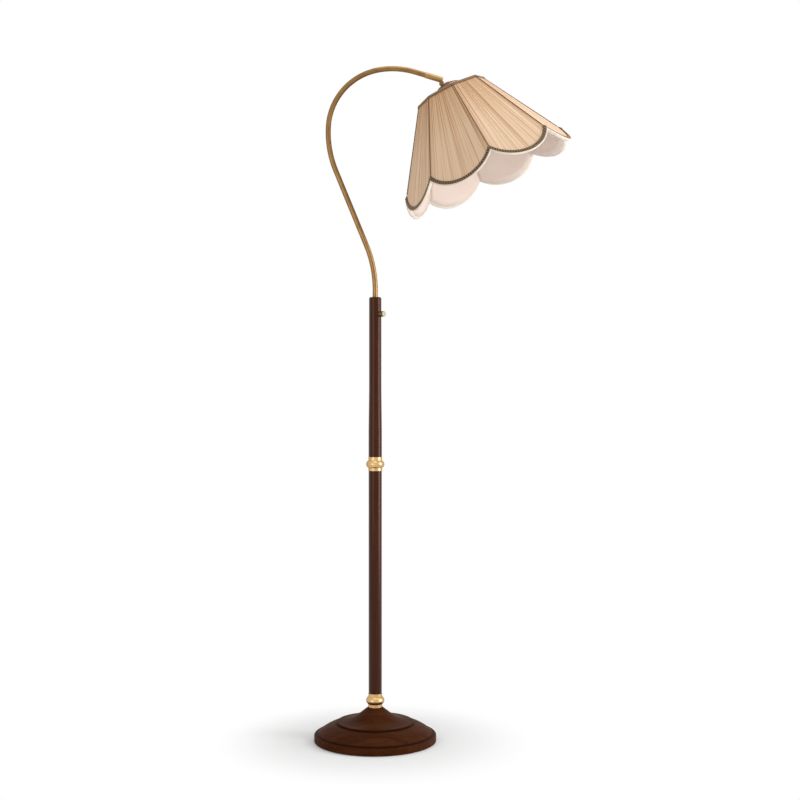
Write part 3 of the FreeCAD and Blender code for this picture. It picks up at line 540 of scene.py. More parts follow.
@dataclass(frozen=True)
class Metal:
    """Plated or rolled white metal; clouds, wear and grit are repeats to the metre."""

    name: str
    light: Colour
    dark: Colour
    rough: float = 0.32
    clouds: float = 260.0
    wear: float = 700.0
    grit: float = 1400.0

    def make(self) -> bpy.types.Material:
        """Builds the finish.

        Returns:
            The material.
        """
        shader = Shader(self.name, Metallic=1.0)
        place = shader.coordinates()
        clouds = shader.noise(place, self.clouds, detail=3.0)
        shader.colour(shader.ramp(clouds, (0.3, self.dark), (0.7, self.light)))
        shader.roughness(shader.range(shader.noise(place, self.wear), self.rough - 0.06, self.rough + 0.08))
        shader.bump((shader.noise(place, self.grit), 0.12, 0.05))
        return shader.material


@dataclass(frozen=True)
class Coating:
    """Paint, plastic, rubber or felt: a body colour with a grain of its own, in repeats to the metre."""

    name: str
    light: Colour
    dark: Colour
    rough: float
    grain: float
    relief: float
    sheen: float = 0.0
    coat: float = 0.0
    wear_share: float = 0.3

    def make(self) -> bpy.types.Material:
        """Builds the finish.

        Returns:
            The material.
        """
        shader = Shader(self.name, Sheen_Weight=self.sheen, Coat_Weight=self.coat, Specular_IOR_Level=0.4)
        place = shader.coordinates()
        grain = shader.noise(place, self.grain, detail=5.0, roughness=0.65)
        shader.colour(shader.ramp(grain, (0.3, self.dark), (0.7, self.light)))
        wear = shader.noise(place, self.grain * self.wear_share)
        shader.roughness(shader.range(wear, self.rough - 0.05, self.rough + 0.07))
        shader.bump((grain, 0.35, self.relief))
        return shader.material


@dataclass(frozen=True)
class PleatedCloth:
    """Champagne satin in knife pleats, painted shade in the valleys; the fold attribute is 0 there and 1 on a
    crest.

    The last three colours multiply it: in darker streaks of random tone and painted shade, in painted
    highlight streaks, and in painted shade along the top edge, where the pleats crowd; that one fades out
    over top_shade_reach, in metres.
    """

    crest: Colour = (0.790, 0.570, 0.385)
    middle: Colour = (0.560, 0.302, 0.138)
    painted_crease_shade: Colour = (0.150, 0.058, 0.020)
    darker_tone_and_shade: Colour = (0.660, 0.500, 0.380)
    painted_highlight_streak: Colour = (1.130, 1.190, 1.270)
    painted_top_shade: Colour = (0.880, 0.800, 0.700)
    top_shade_reach: float = 0.13
    streaks: float = 130.0
    streak_squeeze: float = 0.012
    warp: float = 700.0
    weft: float = 420.0
    weave_wander: float = 0.6

    def make(self) -> bpy.types.Material:
        """Builds the finish.

        Returns:
            The material.
        """
        shader = Shader("pleated_cloth", Sheen_Weight=0.04, Sheen_Roughness=0.4, Specular_IOR_Level=0.16)
        down = shader.coordinates((1.0, self.streak_squeeze, 1.0), uv=True)
        streaks = shader.noise(down, self.streaks, detail=3.0, roughness=0.62)
        # painted shade: the colour darkens from each crest into the valleys along the fold attribute
        folds = shader.ramp(shader.attribute("fold"), (0.0, self.painted_crease_shade), (0.42, self.middle),
                            (0.90, self.crest))
        # painted shade: the colour is darkened along each panel's top edge
        top_edge_shade = shader.ramp(shader.along((0.0, 1.0, 0.0), uv=True), (0.0, self.painted_top_shade),
                              (self.top_shade_reach, WHITE))
        # painted highlight in the brightest streaks; the darker streaks are random tone with painted shade
        tone = shader.ramp(streaks, (0.34, self.darker_tone_and_shade), (0.47, WHITE), (0.57, WHITE), (0.68, self.painted_highlight_streak))
        folds = shader.mix(1.0, folds, top_edge_shade, "MULTIPLY")
        shader.colour(shader.mix(1.0, folds, tone, "MULTIPLY"))
        flat = shader.coordinates(uv=True)
        shader.roughness(shader.range(streaks, 0.46, 0.62))
        shader.bump((shader.wave(flat, self.warp, "X", self.weave_wander), 0.10, 0.10),
                    (shader.wave(flat, self.weft, "Y", self.weave_wander), 0.12, 0.10),
                    (streaks, 0.20, 0.35))
        return shader.material


@dataclass(frozen=True)
class SmoothCloth:
    """Plain woven lining or tape; clouds and wear are repeats to the metre."""

    name: str
    light: Colour
    dark: Colour
    thread: float = 520.0
    clouds: float = 14.0
    wear: float = 90.0

    def make(self) -> bpy.types.Material:
        """Builds the finish.

        Returns:
            The material.
        """
        shader = Shader(self.name, Sheen_Weight=0.15, Sheen_Roughness=0.5, Specular_IOR_Level=0.25)
        place = shader.coordinates(uv=True)
        clouds = shader.noise(place, self.clouds, detail=3.0)
        shader.colour(shader.ramp(clouds, (0.30, self.dark), (0.66, self.light)))
        shader.roughness(shader.range(shader.noise(place, self.wear), 0.55, 0.70))
        shader.bump((shader.wave(place, self.thread, "X"), 0.14, 0.08),
                    (shader.wave(place, self.thread, "Y"), 0.14, 0.08))
        return shader.material


@dataclass(frozen=True)
class Thread:
    """Spun thread of the braid, binding and piping; fibres are repeats to the metre."""

    name: str
    light: Colour
    dark: Colour
    fibres: float = 1800.0

    def make(self) -> bpy.types.Material:
        """Builds the finish.

        Returns:
            The material.
        """
        shader = Shader(self.name, Sheen_Weight=0.25, Sheen_Roughness=0.5, Specular_IOR_Level=0.25)
        fibres = shader.noise(shader.coordinates(), self.fibres, roughness=0.7, distortion=1.5)
        shader.colour(shader.ramp(fibres, (0.34, self.dark), (0.64, self.light)))
        shader.roughness(shader.range(fibres, 0.60, 0.82))
        shader.bump((fibres, 0.55, 0.25))
        return shader.material


@dataclass(frozen=True)
class PearlGlass:
    """The bulb's frosted glass; clouds and frost are repeats to the metre."""

    light: Colour = (0.95, 0.94, 0.92)
    dark: Colour = (0.86, 0.85, 0.82)
    clouds: float = 60.0
    frost: float = 900.0

    def make(self) -> bpy.types.Material:
        """Builds the finish.

        Returns:
            The material.
        """
        shader = Shader("pearl_glass", Transmission_Weight=0.45, IOR=1.46, Coat_Weight=0.25)
        place = shader.coordinates()
        clouds = shader.noise(place, self.clouds, detail=3.0)
        shader.colour(shader.ramp(clouds, (0.3, self.dark), (0.7, self.light)))
        shader.roughness(shader.range(clouds, 0.34, 0.46))
        shader.bump((shader.noise(place, self.frost), 0.05, 0.05))
        return shader.material


# ------------------------------------------------------------------ geometry nodes


@dataclass(frozen=True)
class Loops:
    """A gimp braid's thread loops.  Millimetres, and the slant in radians."""

    pitch: float = 5.6
    length: float = 3.0
    width: float = 1.25
    height: float = 0.95
    row_offset: float = 1.95
    slant: float = 0.95

    def inputs(self) -> dict[str, float]:
        """The node tree's inputs by name, in metres."""
        return {"Pitch": self.pitch * MM, "Loop Length": self.length * MM, "Loop Width": self.width * MM,
                "Loop Height": self.height * MM, "Row Offset": self.row_offset * MM, "Slant": self.slant}


class GimpTree:
    """A node tree that lays slanted thread loops along an edge line, as in a woven gimp braid."""

    def __init__(self, material: bpy.types.Material) -> None:
        """Builds the tree.

        Args:
            material: the loops' finish.
        """
        self.tree = bpy.data.node_groups.new("gimp_braid", "GeometryNodeTree")
        interface = self.tree.interface
        interface.new_socket("Geometry", in_out="INPUT", socket_type="NodeSocketGeometry")
        interface.new_socket("Geometry", in_out="OUTPUT", socket_type="NodeSocketGeometry")
        for name, value in Loops().inputs().items():
            interface.new_socket(name, in_out="INPUT", socket_type="NodeSocketFloat").default_value = value
        given = self.add("NodeGroupInput")
        curve = self.add("GeometryNodeMeshToCurve", Mesh=given.outputs["Geometry"])
        even = self.add("GeometryNodeResampleCurve", Curve=curve.outputs[0])
        even.mode = "LENGTH"
        self.link(given.outputs["Pitch"], even.inputs["Length"])
        outward = self.add("GeometryNodeInputNamedAttribute", Name="outward")
        outward.data_type = "FLOAT_VECTOR"
        tangent = self.add("GeometryNodeInputTangent")
        turn = self.add("FunctionNodeAxesToRotation", Primary_Axis=outward.outputs["Attribute"])
        turn.primary_axis, turn.secondary_axis = "Z", "X"
        self.link(tangent.outputs["Tangent"], turn.inputs["Secondary Axis"])
        both = self.add("GeometryNodeJoinGeometry")
        for row in [self.row(given, side) for side in (1.0, -1.0)]:
            self.link(row, both.inputs["Geometry"])
        laid = self.add("GeometryNodeInstanceOnPoints", Points=even.outputs["Curve"],
                        Instance=both.outputs["Geometry"], Rotation=turn.outputs["Rotation"])
        real = self.add("GeometryNodeRealizeInstances", Geometry=laid.outputs["Instances"])
        finish = self.add("GeometryNodeSetMaterial", Geometry=real.outputs["Geometry"])
        finish.inputs["Material"].default_value = material
        result = self.add("NodeGroupOutput")
        self.link(finish.outputs["Geometry"], result.inputs["Geometry"])

    def add(self, kind: str, **inputs: object) -> bpy.types.Node:
        """Adds a node and fills its inputs.

        Args:
            kind: the node type.
            inputs: values or sockets by input name, spaces written as underscores.

        Returns:
            The node.
        """
        made = self.tree.nodes.new(kind)
        for key, value in inputs.items():
            socket = made.inputs[key] if key in made.inputs else made.inputs[key.replace("_", " ")]
            if isinstance(value, bpy.types.NodeSocket):
                self.link(value, socket)
            else:
                socket.default_value = value
        return made

    def link(self, source: bpy.types.NodeSocket, target: bpy.types.NodeSocket) -> None:
        """Links one socket to another."""
        self.tree.links.new(source, target)

    def times(self, value: bpy.types.NodeSocket, factor: float) -> bpy.types.NodeSocket:
        """A value times a fixed factor.

        Args:
            value: the value.
            factor: the factor.

        Returns:
            The product.
        """
        made = self.add("ShaderNodeMath")
        made.operation = "MULTIPLY"
        self.link(value, made.inputs[0])
        made.inputs[1].default_value = factor
        return made.outputs["Value"]

    def row(self, given: bpy.types.Node, side: float) -> bpy.types.NodeSocket:
        """One slanted loop, to one side of the braid's middle.

        Args:
            given: the tree's inputs.
            side: 1 for the upper row and -1 for the lower.

        Returns:
            The loop's geometry.
        """
        ball = self.add("GeometryNodeMeshUVSphere", Segments=8, Rings=5, Radius=1.0)
        smooth = self.add("GeometryNodeSetShadeSmooth", Geometry=ball.outputs["Mesh"])
        scale = self.add("ShaderNodeCombineXYZ", X=given.outputs["Loop Length"],
                         Y=given.outputs["Loop Width"], Z=given.outputs["Loop Height"])
        shaped = self.add("GeometryNodeTransform", Geometry=smooth.outputs["Geometry"],
                          Scale=scale.outputs["Vector"])
        turn = self.add("ShaderNodeCombineXYZ", Z=self.times(given.outputs["Slant"], side))
        place = self.add("ShaderNodeCombineXYZ", Y=self.times(given.outputs["Row Offset"], side))
        moved = self.add("GeometryNodeTransform", Geometry=shaped.outputs["Geometry"],
                         Translation=place.outputs["Vector"], Rotation=turn.outputs["Vector"])
        return moved.outputs["Geometry"]

    def lay(self, name: str, lines: list[tuple[np.ndarray, np.ndarray]], loops: Loops) -> bpy.types.Object:
        """Lays the braid along edge lines and returns it as a plain mesh.

        Args:
            name: the piece's name.
            lines: each line's points and the outward direction at each.
            loops: the loops' sizes.

        Returns:
            The braid, an object at the origin.
        """
        mesh = bpy.data.meshes.new(name + "_line")
        points, edges, outward = [], [], []
        for line, away in lines:
            start = len(points)
            points += [tuple(p) for p in line]
            outward += [tuple(p) for p in away]
            edges += [(start + i, start + i + 1) for i in range(len(line) - 1)]
        mesh.from_pydata(points, edges, [])
        layer = mesh.attributes.new("outward", "FLOAT_VECTOR", "POINT")
        layer.data.foreach_set("vector", np.array(outward, np.float32).ravel())
        guide = link_object(name + "_guide", mesh)
        modifier = guide.modifiers.new("gimp", "NODES")
        modifier.node_group = self.tree
        named = {item.name: item.identifier for item in self.tree.interface.items_tree
                 if item.item_type == "SOCKET" and item.in_out == "INPUT"}
        for key, value in loops.inputs().items():
            modifier[named[key]] = value
        result = settled_mesh(guide)
        result.name = name
        bpy.data.objects.remove(guide)
        return link_object(name, result)


# ------------------------------------------------------------------ the shade


@dataclass
class Shade:
    """The eight-panel pleated shade.  Millimetres, in the shade's own frame.

    A share is a place across a panel from -1 to 1.  A rise is measured up from the scallops' edge, a gap in
    from the panels' plane, and a seat or a lift out from it.  The origin is in metres and the tilt in
    degrees, in the lamp's frame; the halves and cells of the UV maps are in metres.
    """

    PLEAT: ClassVar[tuple[tuple[float, float], ...]] = (
        (0.0, 0.0), (0.12, 0.12), (0.30, 0.45), (0.52, 0.78), (0.74, 0.97), (0.87, 1.0), (0.95, 0.62))

    origin: Triple = (0.172834, 0.0, 1.4913)
    tilt: float = -24.5
    panels: int = 8
    height: float = 190.0
    top_radius: float = 79.0
    bottom_radius: float = 197.2
    scallop: float = 40.0
    scallop_steps: int = 40

    seed: int = 41
    pleats: int = 18
    pleat_widths: tuple[float, float] = (0.5, 1.6)
    pleat_strengths: tuple[float, float] = (0.30, 1.0)
    pleat_crest: float = 1.05
    pleat_take_up: float = 1.12
    crest_loss: float = 0.45
    fade: float = 0.72
    panel_rows: int = 26
    panel_rise: float = 0.6
    panel_lift: float = 0.25
    foot_lift: float = 0.65
    swell: float = 0.25
    drift: float = 0.006
    seam_pull: float = 6.0
    seam_edge: float = 0.4
    seam_fold: float = 0.6
    cloth: float = 0.45
    cloth_half: float = 0.09

    lining_rows: int = 16
    lining_columns: int = 15
    lining_top: float = 1.2
    lining_rise: float = 1.6
    lining_gap: float = 6.5
    lining_sag: float = 1.6
    sag_speed: float = 1.05
    lining_cloth: float = 0.4
    lining_half: float = 0.075

    braid_foot: float = 2.8
    braid_head: float = 10.6
    braid_seat: float = 1.7
    braid_thickness: float = 1.1
    braid_steps: int = 60
    braid_loops: Loops = Loops()
    ribbon_cell: tuple[float, float] = (0.0045, 0.004)

    hem_corners: int = 14
    hem_rise: float = 1.4
    hem_gap: float = 1.7
    hem_half_height: float = 2.8
    hem_half_depth: float = 4.5

    binding_width: float = 6.5
    binding_seat: float = 1.35
    binding_steps: int = 6
    binding_row: float = 3.4
    binding_row_steps: int = 8
    binding_loops: Loops = Loops(pitch=3.2, length=2.1, width=0.8, height=0.5, row_offset=1.4, slant=0.85)
    binding_cell: tuple[float, float] = (0.01, 0.002)

    cord_radius: float = 0.85
    cord_corners: int = 8
    cord_rows: int = 150
    cord_top: float = 6.6
    cord_clearance: float = 0.4
    cord_lift: float = 0.75
    cord_foot_lift: float = 0.3
    cord_foot_seat: float = 0.55
    cord_strands: int = 2
    cord_relief: float = 0.16
    cord_twist: float = 0.55

    def __post_init__(self) -> None:
        """Works out the shade's place and the pyramid's slopes."""
        self.place = (Matrix.Translation(self.origin)
                      @ Matrix.Rotation(math.radians(self.tilt), 4, "Y"))
        self.half = math.pi / self.panels
        self.rise = (self.bottom_radius - self.top_radius) * math.cos(self.half)
        self.slope = math.atan2(self.rise, self.height)
        self.slant = math.hypot(self.height, self.rise)

    def rib(self, index: int) -> float:
        """A rib's angle round the shade's axis."""
        return 2 * math.pi * index / self.panels

    def panel_axes(self, index: int) -> tuple[Vector, Vector, Vector, Vector]:
        """A panel's own directions.

        Args:
            index: the panel's number.

        Returns:
            Its top edge's middle, then the ways along its foot, down its slope and outward.
        """
        middle = (self.rib(index) + self.rib(index + 1)) / 2
        out = Vector((math.cos(middle), math.sin(middle), 0.0))
        along = Vector((-math.sin(middle), math.cos(middle), 0.0))
        down = out * math.sin(self.slope) - Vector((0, 0, math.cos(self.slope)))
        start = out * (self.top_radius * math.cos(self.half))
        return start, along, down, down.cross(along)

    def widths(self, gap: float) -> tuple[float, float]:
        """A panel's half widths, moved in square to its face.

        Args:
            gap: how far in.

        Returns:
            The half widths at its top and its foot.
        """
        inward = gap / math.cos(self.half)
        return ((self.top_radius - inward) * math.sin(self.half),
                (self.bottom_radius - inward) * math.sin(self.half))

    def edge(self, share: float, rise: float, gap: float = 0.0) -> float:
        """How far down its slope a panel reaches: where its line at a share meets the scallop's circle.

        Args:
            share: the place across the panel.
            rise: how far above the scallop's edge.
            gap: how far inside the panel's plane.

        Returns:
            The distance down the slope.
        """
        narrow, wide = self.widths(gap)
        full = self.bottom_radius * math.sin(self.half)
        radius = (full**2 + self.scallop**2) / (2 * self.scallop)
        centre = self.slant + self.scallop - radius
        gradient = (wide - narrow) / self.slant
        a = (share * gradient) ** 2 + 1
        b = 2 * (share**2 * narrow * gradient - centre)
        c = (share * narrow) ** 2 + centre**2 - (radius - rise) ** 2
        return (-b + math.sqrt(b * b - 4 * a * c)) / (2 * a)

    def point(self, index: int, share: float, down: float, out: float, gap: float = 0.0) -> Vector:
        """A point of a panel, in metres, in the lamp's frame.

        Args:
            index: the panel's number.
            share: the place across it.
            down: the distance down its slope.
            out: how far outside its plane.
            gap: how far the whole pyramid is moved in.

        Returns:
            The point.
        """
        start, along, slope, outward = self.panel_axes(index)
        narrow, wide = self.widths(gap - out)
        across = share * (narrow + (wide - narrow) * down / self.slant)
        lift = (out - gap) / math.cos(self.slope)
        base = start + along * across + slope * down
        flat = Vector((outward.x, outward.y, 0.0)).normalized()
        return self.place @ ((base + flat * lift) * MM)

    def guide(self, index: int, points: np.ndarray) -> tuple[np.ndarray, np.ndarray]:
        """A line for the gimp's loops.

        Args:
            index: the panel's number.
            points: the line's points.

        Returns:
            The points, and the panel's outward direction at each.
        """
        outward = self.place.to_3x3() @ self.panel_axes(index)[3]
        return points, np.array([outward] * len(points))

    def pleat_profile(self, chance: random.Random) -> list[tuple[float, float, float]]:
        """The cloth's cross-section over one panel.

        Args:
            chance: the seeded source of its unevenness.

        Returns:
            For each point its share, its height from 0 to 1 and its pleat's strength.
        """
        widths = [chance.uniform(*self.pleat_widths) for _ in range(self.pleats)]
        total = sum(widths)
        profile, passed = [], 0.0
        for width in widths:
            strength = chance.uniform(*self.pleat_strengths)
            profile += [(2 * (passed + part * width) / total - 1, height, strength)
                        for part, height in self.PLEAT]
            passed += width
        profile.append((1.0, 0.0, 1.0))
        return profile

    def panel(self, index: int, material: bpy.types.Material) -> bpy.types.Object:
        """One pleated panel with its scalloped foot.

        Args:
            index: the panel's number.
            material: its cloth.

        Returns:
            The panel.
        """
        chance = random.Random(self.seed + index)
        profile = self.pleat_profile(chance)
        swell_start, drift_start = (chance.uniform(0, 2 * math.pi) for _ in range(2))
        points, uv, fold = [], [], []
        for row in range(self.panel_rows):
            part = row / (self.panel_rows - 1)
            lift = self.panel_lift + self.foot_lift * part
            for share, height, strength in profile:
                down = part * self.edge(share, self.panel_rise)
                relief = self.pleat_crest * strength * (1.0 - self.crest_loss * part)
                swell = self.swell * math.sin(5 * share + swell_start + 3 * part) * math.sin(math.pi * part)
                drift = self.drift * math.sin(4 * part + drift_start + 9 * share) * (1 - share * share)
                settle = min(1.0, self.seam_pull * (1 - abs(share)))
                out = lift + (relief * height + swell) * settle
                points.append(self.point(index, share + drift, down, out))
                uv.append((share * self.cloth_half, down * MM))
                # fold carries the painted shade of the valleys; its contrast fades towards the foot
                shown = strength * (1.0 - self.fade * part)
                fold.append(1.0 - (1.0 - height) * shown if settle > self.seam_edge else self.seam_fold)
        made = new_piece(f"panel_cloth_{index + 1}", np.array(points),
                         grid_faces(self.panel_rows, len(profile)), material, np.array(uv))
        layer = made.data.attributes.new("fold", "FLOAT", "POINT")
        layer.data.foreach_set("value", np.array(fold, np.float32))
        thicken(made, self.cloth)
        dress(made, "shade", "pleated_cloth", f"pleated_panel_{index + 1}")
        return made

    def lining(self, material: bpy.types.Material) -> bpy.types.Object:
        """The smooth lining inside the frame.

        Args:
            material: its cloth.

        Returns:
            The lining.
        """
        points, uv, faces = [], [], []
        for index in range(self.panels):
            start = len(points)
            for row in range(self.lining_rows):
                part = row / (self.lining_rows - 1)
                hang = self.lining_sag * math.sin(math.pi * min(1.0, part * self.sag_speed))
                for column in range(self.lining_columns):
                    share = 2 * column / (self.lining_columns - 1) - 1
                    foot = self.edge(share, self.lining_rise, self.lining_gap)
                    down = self.lining_top + part * (foot - self.lining_top)
                    out = -hang * (1 - share * share)
                    points.append(self.point(index, share, down, out, self.lining_gap))
                    uv.append((share * self.lining_half, down * MM))
            faces += grid_faces(self.lining_rows, self.lining_columns, start=start)
        made = new_piece("lining_cloth", np.array(points), faces, material, np.array(uv))
        weld(made)
        thicken(made, self.lining_cloth)
        return made

    def scallop_line(self, index: int, rise: float, out: float, steps: int) -> np.ndarray:
        """Points along a panel's scallop.

        Args:
            index: the panel's number.
            rise: how far above the edge.
            out: how far outside the panel's plane.
            steps: how many stretches.

        Returns:
            The points.
        """
        shares = [2 * step / steps - 1 for step in range(steps + 1)]
        return np.array([self.point(index, share, self.edge(share, rise), out) for share in shares])

    def ribbon(self, name: str, material: bpy.types.Material,
               section: list[tuple[float, float]]) -> bpy.types.Object:
        """A closed band that follows the scallops all round.

        Args:
            name: the piece's name.
            material: its cloth.
            section: the band's cross-section, as rises and distances outside the cloth.

        Returns:
            The band.
        """
        lines = [np.concatenate([self.scallop_line(index, rise, out, self.scallop_steps)[:-1]
                                 for index in range(self.panels)]) for rise, out in section]
        return closed_band(name, np.stack(lines, axis=1), self.ribbon_cell, material)

    def braid(self, ground: bpy.types.Material, tape: bpy.types.Material,
              gimp: GimpTree) -> list[bpy.types.Object]:
        """The brown gimp braid and the lining's cream roll under it.

        Args:
            ground: the braid's ground finish.
            tape: the roll's finish.
            gimp: the tree that lays the loops.

        Returns:
            The braid's ground, its loops and the roll.
        """
        low, high = self.braid_foot, self.braid_head
        seat, top = self.braid_seat, self.braid_seat + self.braid_thickness
        section = [(low, seat), (low - 0.2, seat + 0.5), (low, top - 0.2), (low + 0.6, top),
                   (high - 0.6, top), (high, top - 0.2), (high + 0.1, seat + 0.5), (high, seat)]
        band = self.ribbon("braid_tape", ground, section)
        lines = [self.guide(index, self.scallop_line(index, (low + high) / 2, top, self.braid_steps))
                 for index in range(self.panels)]
        loops = gimp.lay("braid_loops", lines, self.braid_loops)
        angles = [2 * math.pi * corner / self.hem_corners for corner in range(self.hem_corners)]
        ring = [(self.hem_rise + self.hem_half_height * math.cos(angle),
                 -self.hem_gap + self.hem_half_depth * math.sin(angle)) for angle in angles]
        return [band, loops, self.ribbon("lining_hem", tape, ring)]

    def binding(self, thread: bpy.types.Material, gimp: GimpTree) -> list[bpy.types.Object]:
        """The binding over the top edge and its loops.

        Args:
            thread: its finish.
            gimp: the tree that lays the loops.

        Returns:
            The binding and its loops.
        """
        width, seat = self.binding_width, self.binding_seat
        section = [(width, seat), (width, seat + 0.8), (0.6, seat + 0.8), (0.0, seat + 0.5),
                   (-0.45, seat - 0.3), (-0.5, -0.9), (-0.1, -1.5), (0.4, -1.7), (4.4, -1.7), (4.4, -1.2),
                   (0.9, -1.1), (0.8, seat - 0.1)]
        rings = np.array([[self.point(index, 2 * step / self.binding_steps - 1, down, out)
                           for down, out in section]
                          for index in range(self.panels) for step in range(self.binding_steps)])
        band = closed_band("binding_tape", rings, self.binding_cell, thread)
        shares = [2 * step / self.binding_row_steps - 1 for step in range(self.binding_row_steps + 1)]
        lines = [self.guide(index, np.array([self.point(index, share, self.binding_row, seat + 0.75)
                                             for share in shares])) for index in range(self.panels)]
        return [band, gimp.lay("binding_loops", lines, self.binding_loops)]

    def piping(self, thread: bpy.types.Material) -> bpy.types.Object:
        """The corded piping over the ribs, with its twist.

        Args:
            thread: its finish.

        Returns:
            The eight cords as one piece.
        """
        around, rows = self.cord_corners, self.cord_rows
        points, faces = [], []
        for index in range(self.panels):
            start = len(points)
            out = self.place.to_3x3() @ Vector((math.cos(self.rib(index)), math.sin(self.rib(index)), 0.0))
            first = self.point(index, -1.0, self.cord_top, 0.0)
            low = self.edge(1.0, self.braid_head + self.cord_clearance)
            last = self.point(index, -1.0, low, self.cord_foot_seat)
            run = (last - first).normalized()
            side = run.cross(out).normalized()
            away = side.cross(run)
            for row in range(rows):
                part = row / (rows - 1)
                lift = (self.cord_lift + self.cord_foot_lift * part) * MM
                centre = first + (last - first) * part + away * lift
                for corner in range(around):
                    angle = 2 * math.pi * corner / around
                    strand = self.cord_relief * math.cos(self.cord_strands * (angle - row * self.cord_twist))
                    reach = self.cord_radius * (1 + strand) * MM
                    points.append(centre + side * (reach * math.cos(angle))
                                  + away * (reach * math.sin(angle)))
            faces += grid_faces(rows, around, closed=True, start=start)
            faces.append(tuple(range(start, start + around)))
            faces.append(tuple(range(start + (rows - 1) * around, start + rows * around))[::-1])
        made = new_piece("rib_cord", np.array(points), faces, thread)
        face_outward(made)
        return made

    def build(self) -> None:
        """Builds and dresses the shade's cloth."""
        cloth = PleatedCloth().make()
        lining = SmoothCloth("lining_satin", (0.790, 0.655, 0.570), (0.740, 0.605, 0.520)).make()
        tape = SmoothCloth("cream_roll", (0.850, 0.755, 0.640), (0.785, 0.680, 0.555), thread=300.0).make()
        ground = Thread("braid_ground", (0.060, 0.029, 0.012), (0.026, 0.012, 0.005)).make()
        brown = Thread("gimp_loops", (0.400, 0.250, 0.125), (0.210, 0.118, 0.052)).make()
        bound = Thread("binding_thread", (0.340, 0.205, 0.105), (0.190, 0.105, 0.048)).make()
        seam = Thread("seam_cord", (0.120, 0.070, 0.040), (0.045, 0.024, 0.013)).make()
        gimp = GimpTree(brown)
        for index in range(self.panels):
            self.panel(index, cloth)
        inner = dress(self.lining(lining), "shade", "lining_cloth", "shade_lining")
        band, loops, hem = self.braid(ground, tape, gimp)
        dress(band, "shade", "braid", "scallop_braid")
        dress(loops, "shade", "braid")
        dress(hem, "shade", "lining_cloth")
        top, top_loops = self.binding(bound, gimp)
        dress(top, "shade", "braid", "top_binding")
        dress(top_loops, "shade", "braid")
        dress(self.piping(seam), "shade", "braid", "rib_piping")


# ------------------------------------------------------------------ the stand, arm and lampholder


@dataclass
class Hardware:
    """The solids that keep their own shape and take a finish."""

    base_grooves: tuple[tuple[float, float], ...] = ((0.0884, 0.0902), (0.1300, 0.1368))
    knob_face: Triple = (0.829038, -0.559193, 0.0)

    def finishes(self) -> list[tuple[object, tuple[str, ...]]]:
        """Each finish with the nodes that take it.

        Returns:
            The pairs.
        """
        return [
            (Walnut(Grain.UPRIGHT), ("lower_pole", "upper_pole")),
            (Walnut(Grain.ACROSS, self.base_grooves, gloss=0.02, smooth=0.44, dark=(0.044, 0.0124, 0.0042),
                    middle=(0.062, 0.0185, 0.0062), light=(0.088, 0.0280, 0.0092)), ("base_shell",)),
            (Brass("turned_brass"),
             ("lower_collar", "middle_collar", "arm_bush", "thrust_washer", "arm_foot")),
            # painted shade: knob, tube, sleeve and knuckle brass take lowered colours for shaded sides and
            # dark reflections
            (Brass("knob_brass", (0.20, 0.115, 0.042), (0.13, 0.070, 0.025), face=self.knob_face),
             ("switch_rosette", "switch_knob")),
            (Brass("tube_brass", (0.29, 0.158, 0.048), (0.22, 0.112, 0.031)), ("arm_tube",)),
            (Brass("sleeve_brass", (0.42, 0.250, 0.090), (0.34, 0.192, 0.060)), ("arm_sleeve",)),
            (Brass("knuckle_brass", (0.25, 0.135, 0.050), (0.15, 0.078, 0.028)),
             ("arm_fork", "pivot_screw", "pivot_nut", "shade_cap")),
            (Brass("bright_contact", (0.72, 0.52, 0.22), (0.60, 0.41, 0.16), smooth=0.18, rough=0.28),
             ("holder_contact",)),
            (Coating("black_casting", (0.045, 0.045, 0.045), (0.025, 0.025, 0.025), rough=0.62,
                     grain=320.0, relief=0.5), ("base_weight",)),
            (Coating("gland_rubber", (0.035, 0.033, 0.031), (0.022, 0.021, 0.020), rough=0.60,
                     grain=700.0, relief=0.1), ("cord_gland",)),
            (Metal("zinc_plate", (0.62, 0.61, 0.58), (0.48, 0.47, 0.45)),
             ("tie_rod", "joint_rod", "base_washer", "base_nut", "stop_screw", "holder_nipple",
              "shade_frame")),
            (Metal("cap_aluminium", (0.78, 0.78, 0.77), (0.66, 0.66, 0.65), rough=0.26), ("bulb_cap",)),
            (Coating("bakelite", (0.030, 0.024, 0.020), (0.016, 0.012, 0.010), rough=0.30, grain=90.0,
                     relief=0.05, coat=0.4), ("switch_body", "lampholder_body", "holder_ring")),
            (Coating("sheath", (0.28, 0.21, 0.13), (0.17, 0.12, 0.07), rough=0.60, grain=900.0, relief=0.3),
             ("stand_lead", "arm_lead")),
            (Coating("enamel", (0.80, 0.78, 0.74), (0.73, 0.71, 0.67), rough=0.30, grain=120.0, relief=0.08,
                     coat=0.3), ("shade_spider",)),
            (PearlGlass(), ("bulb_glass",)),
        ]

    def build(self) -> None:
        """Dresses every node that keeps its shape."""
        for finish, names in self.finishes():
            material = finish.make()
            for name in names:
                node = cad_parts[name]
                node.data.materials.clear()
                node.data.materials.append(material)
                log.info("%s takes %s", name, material.name)


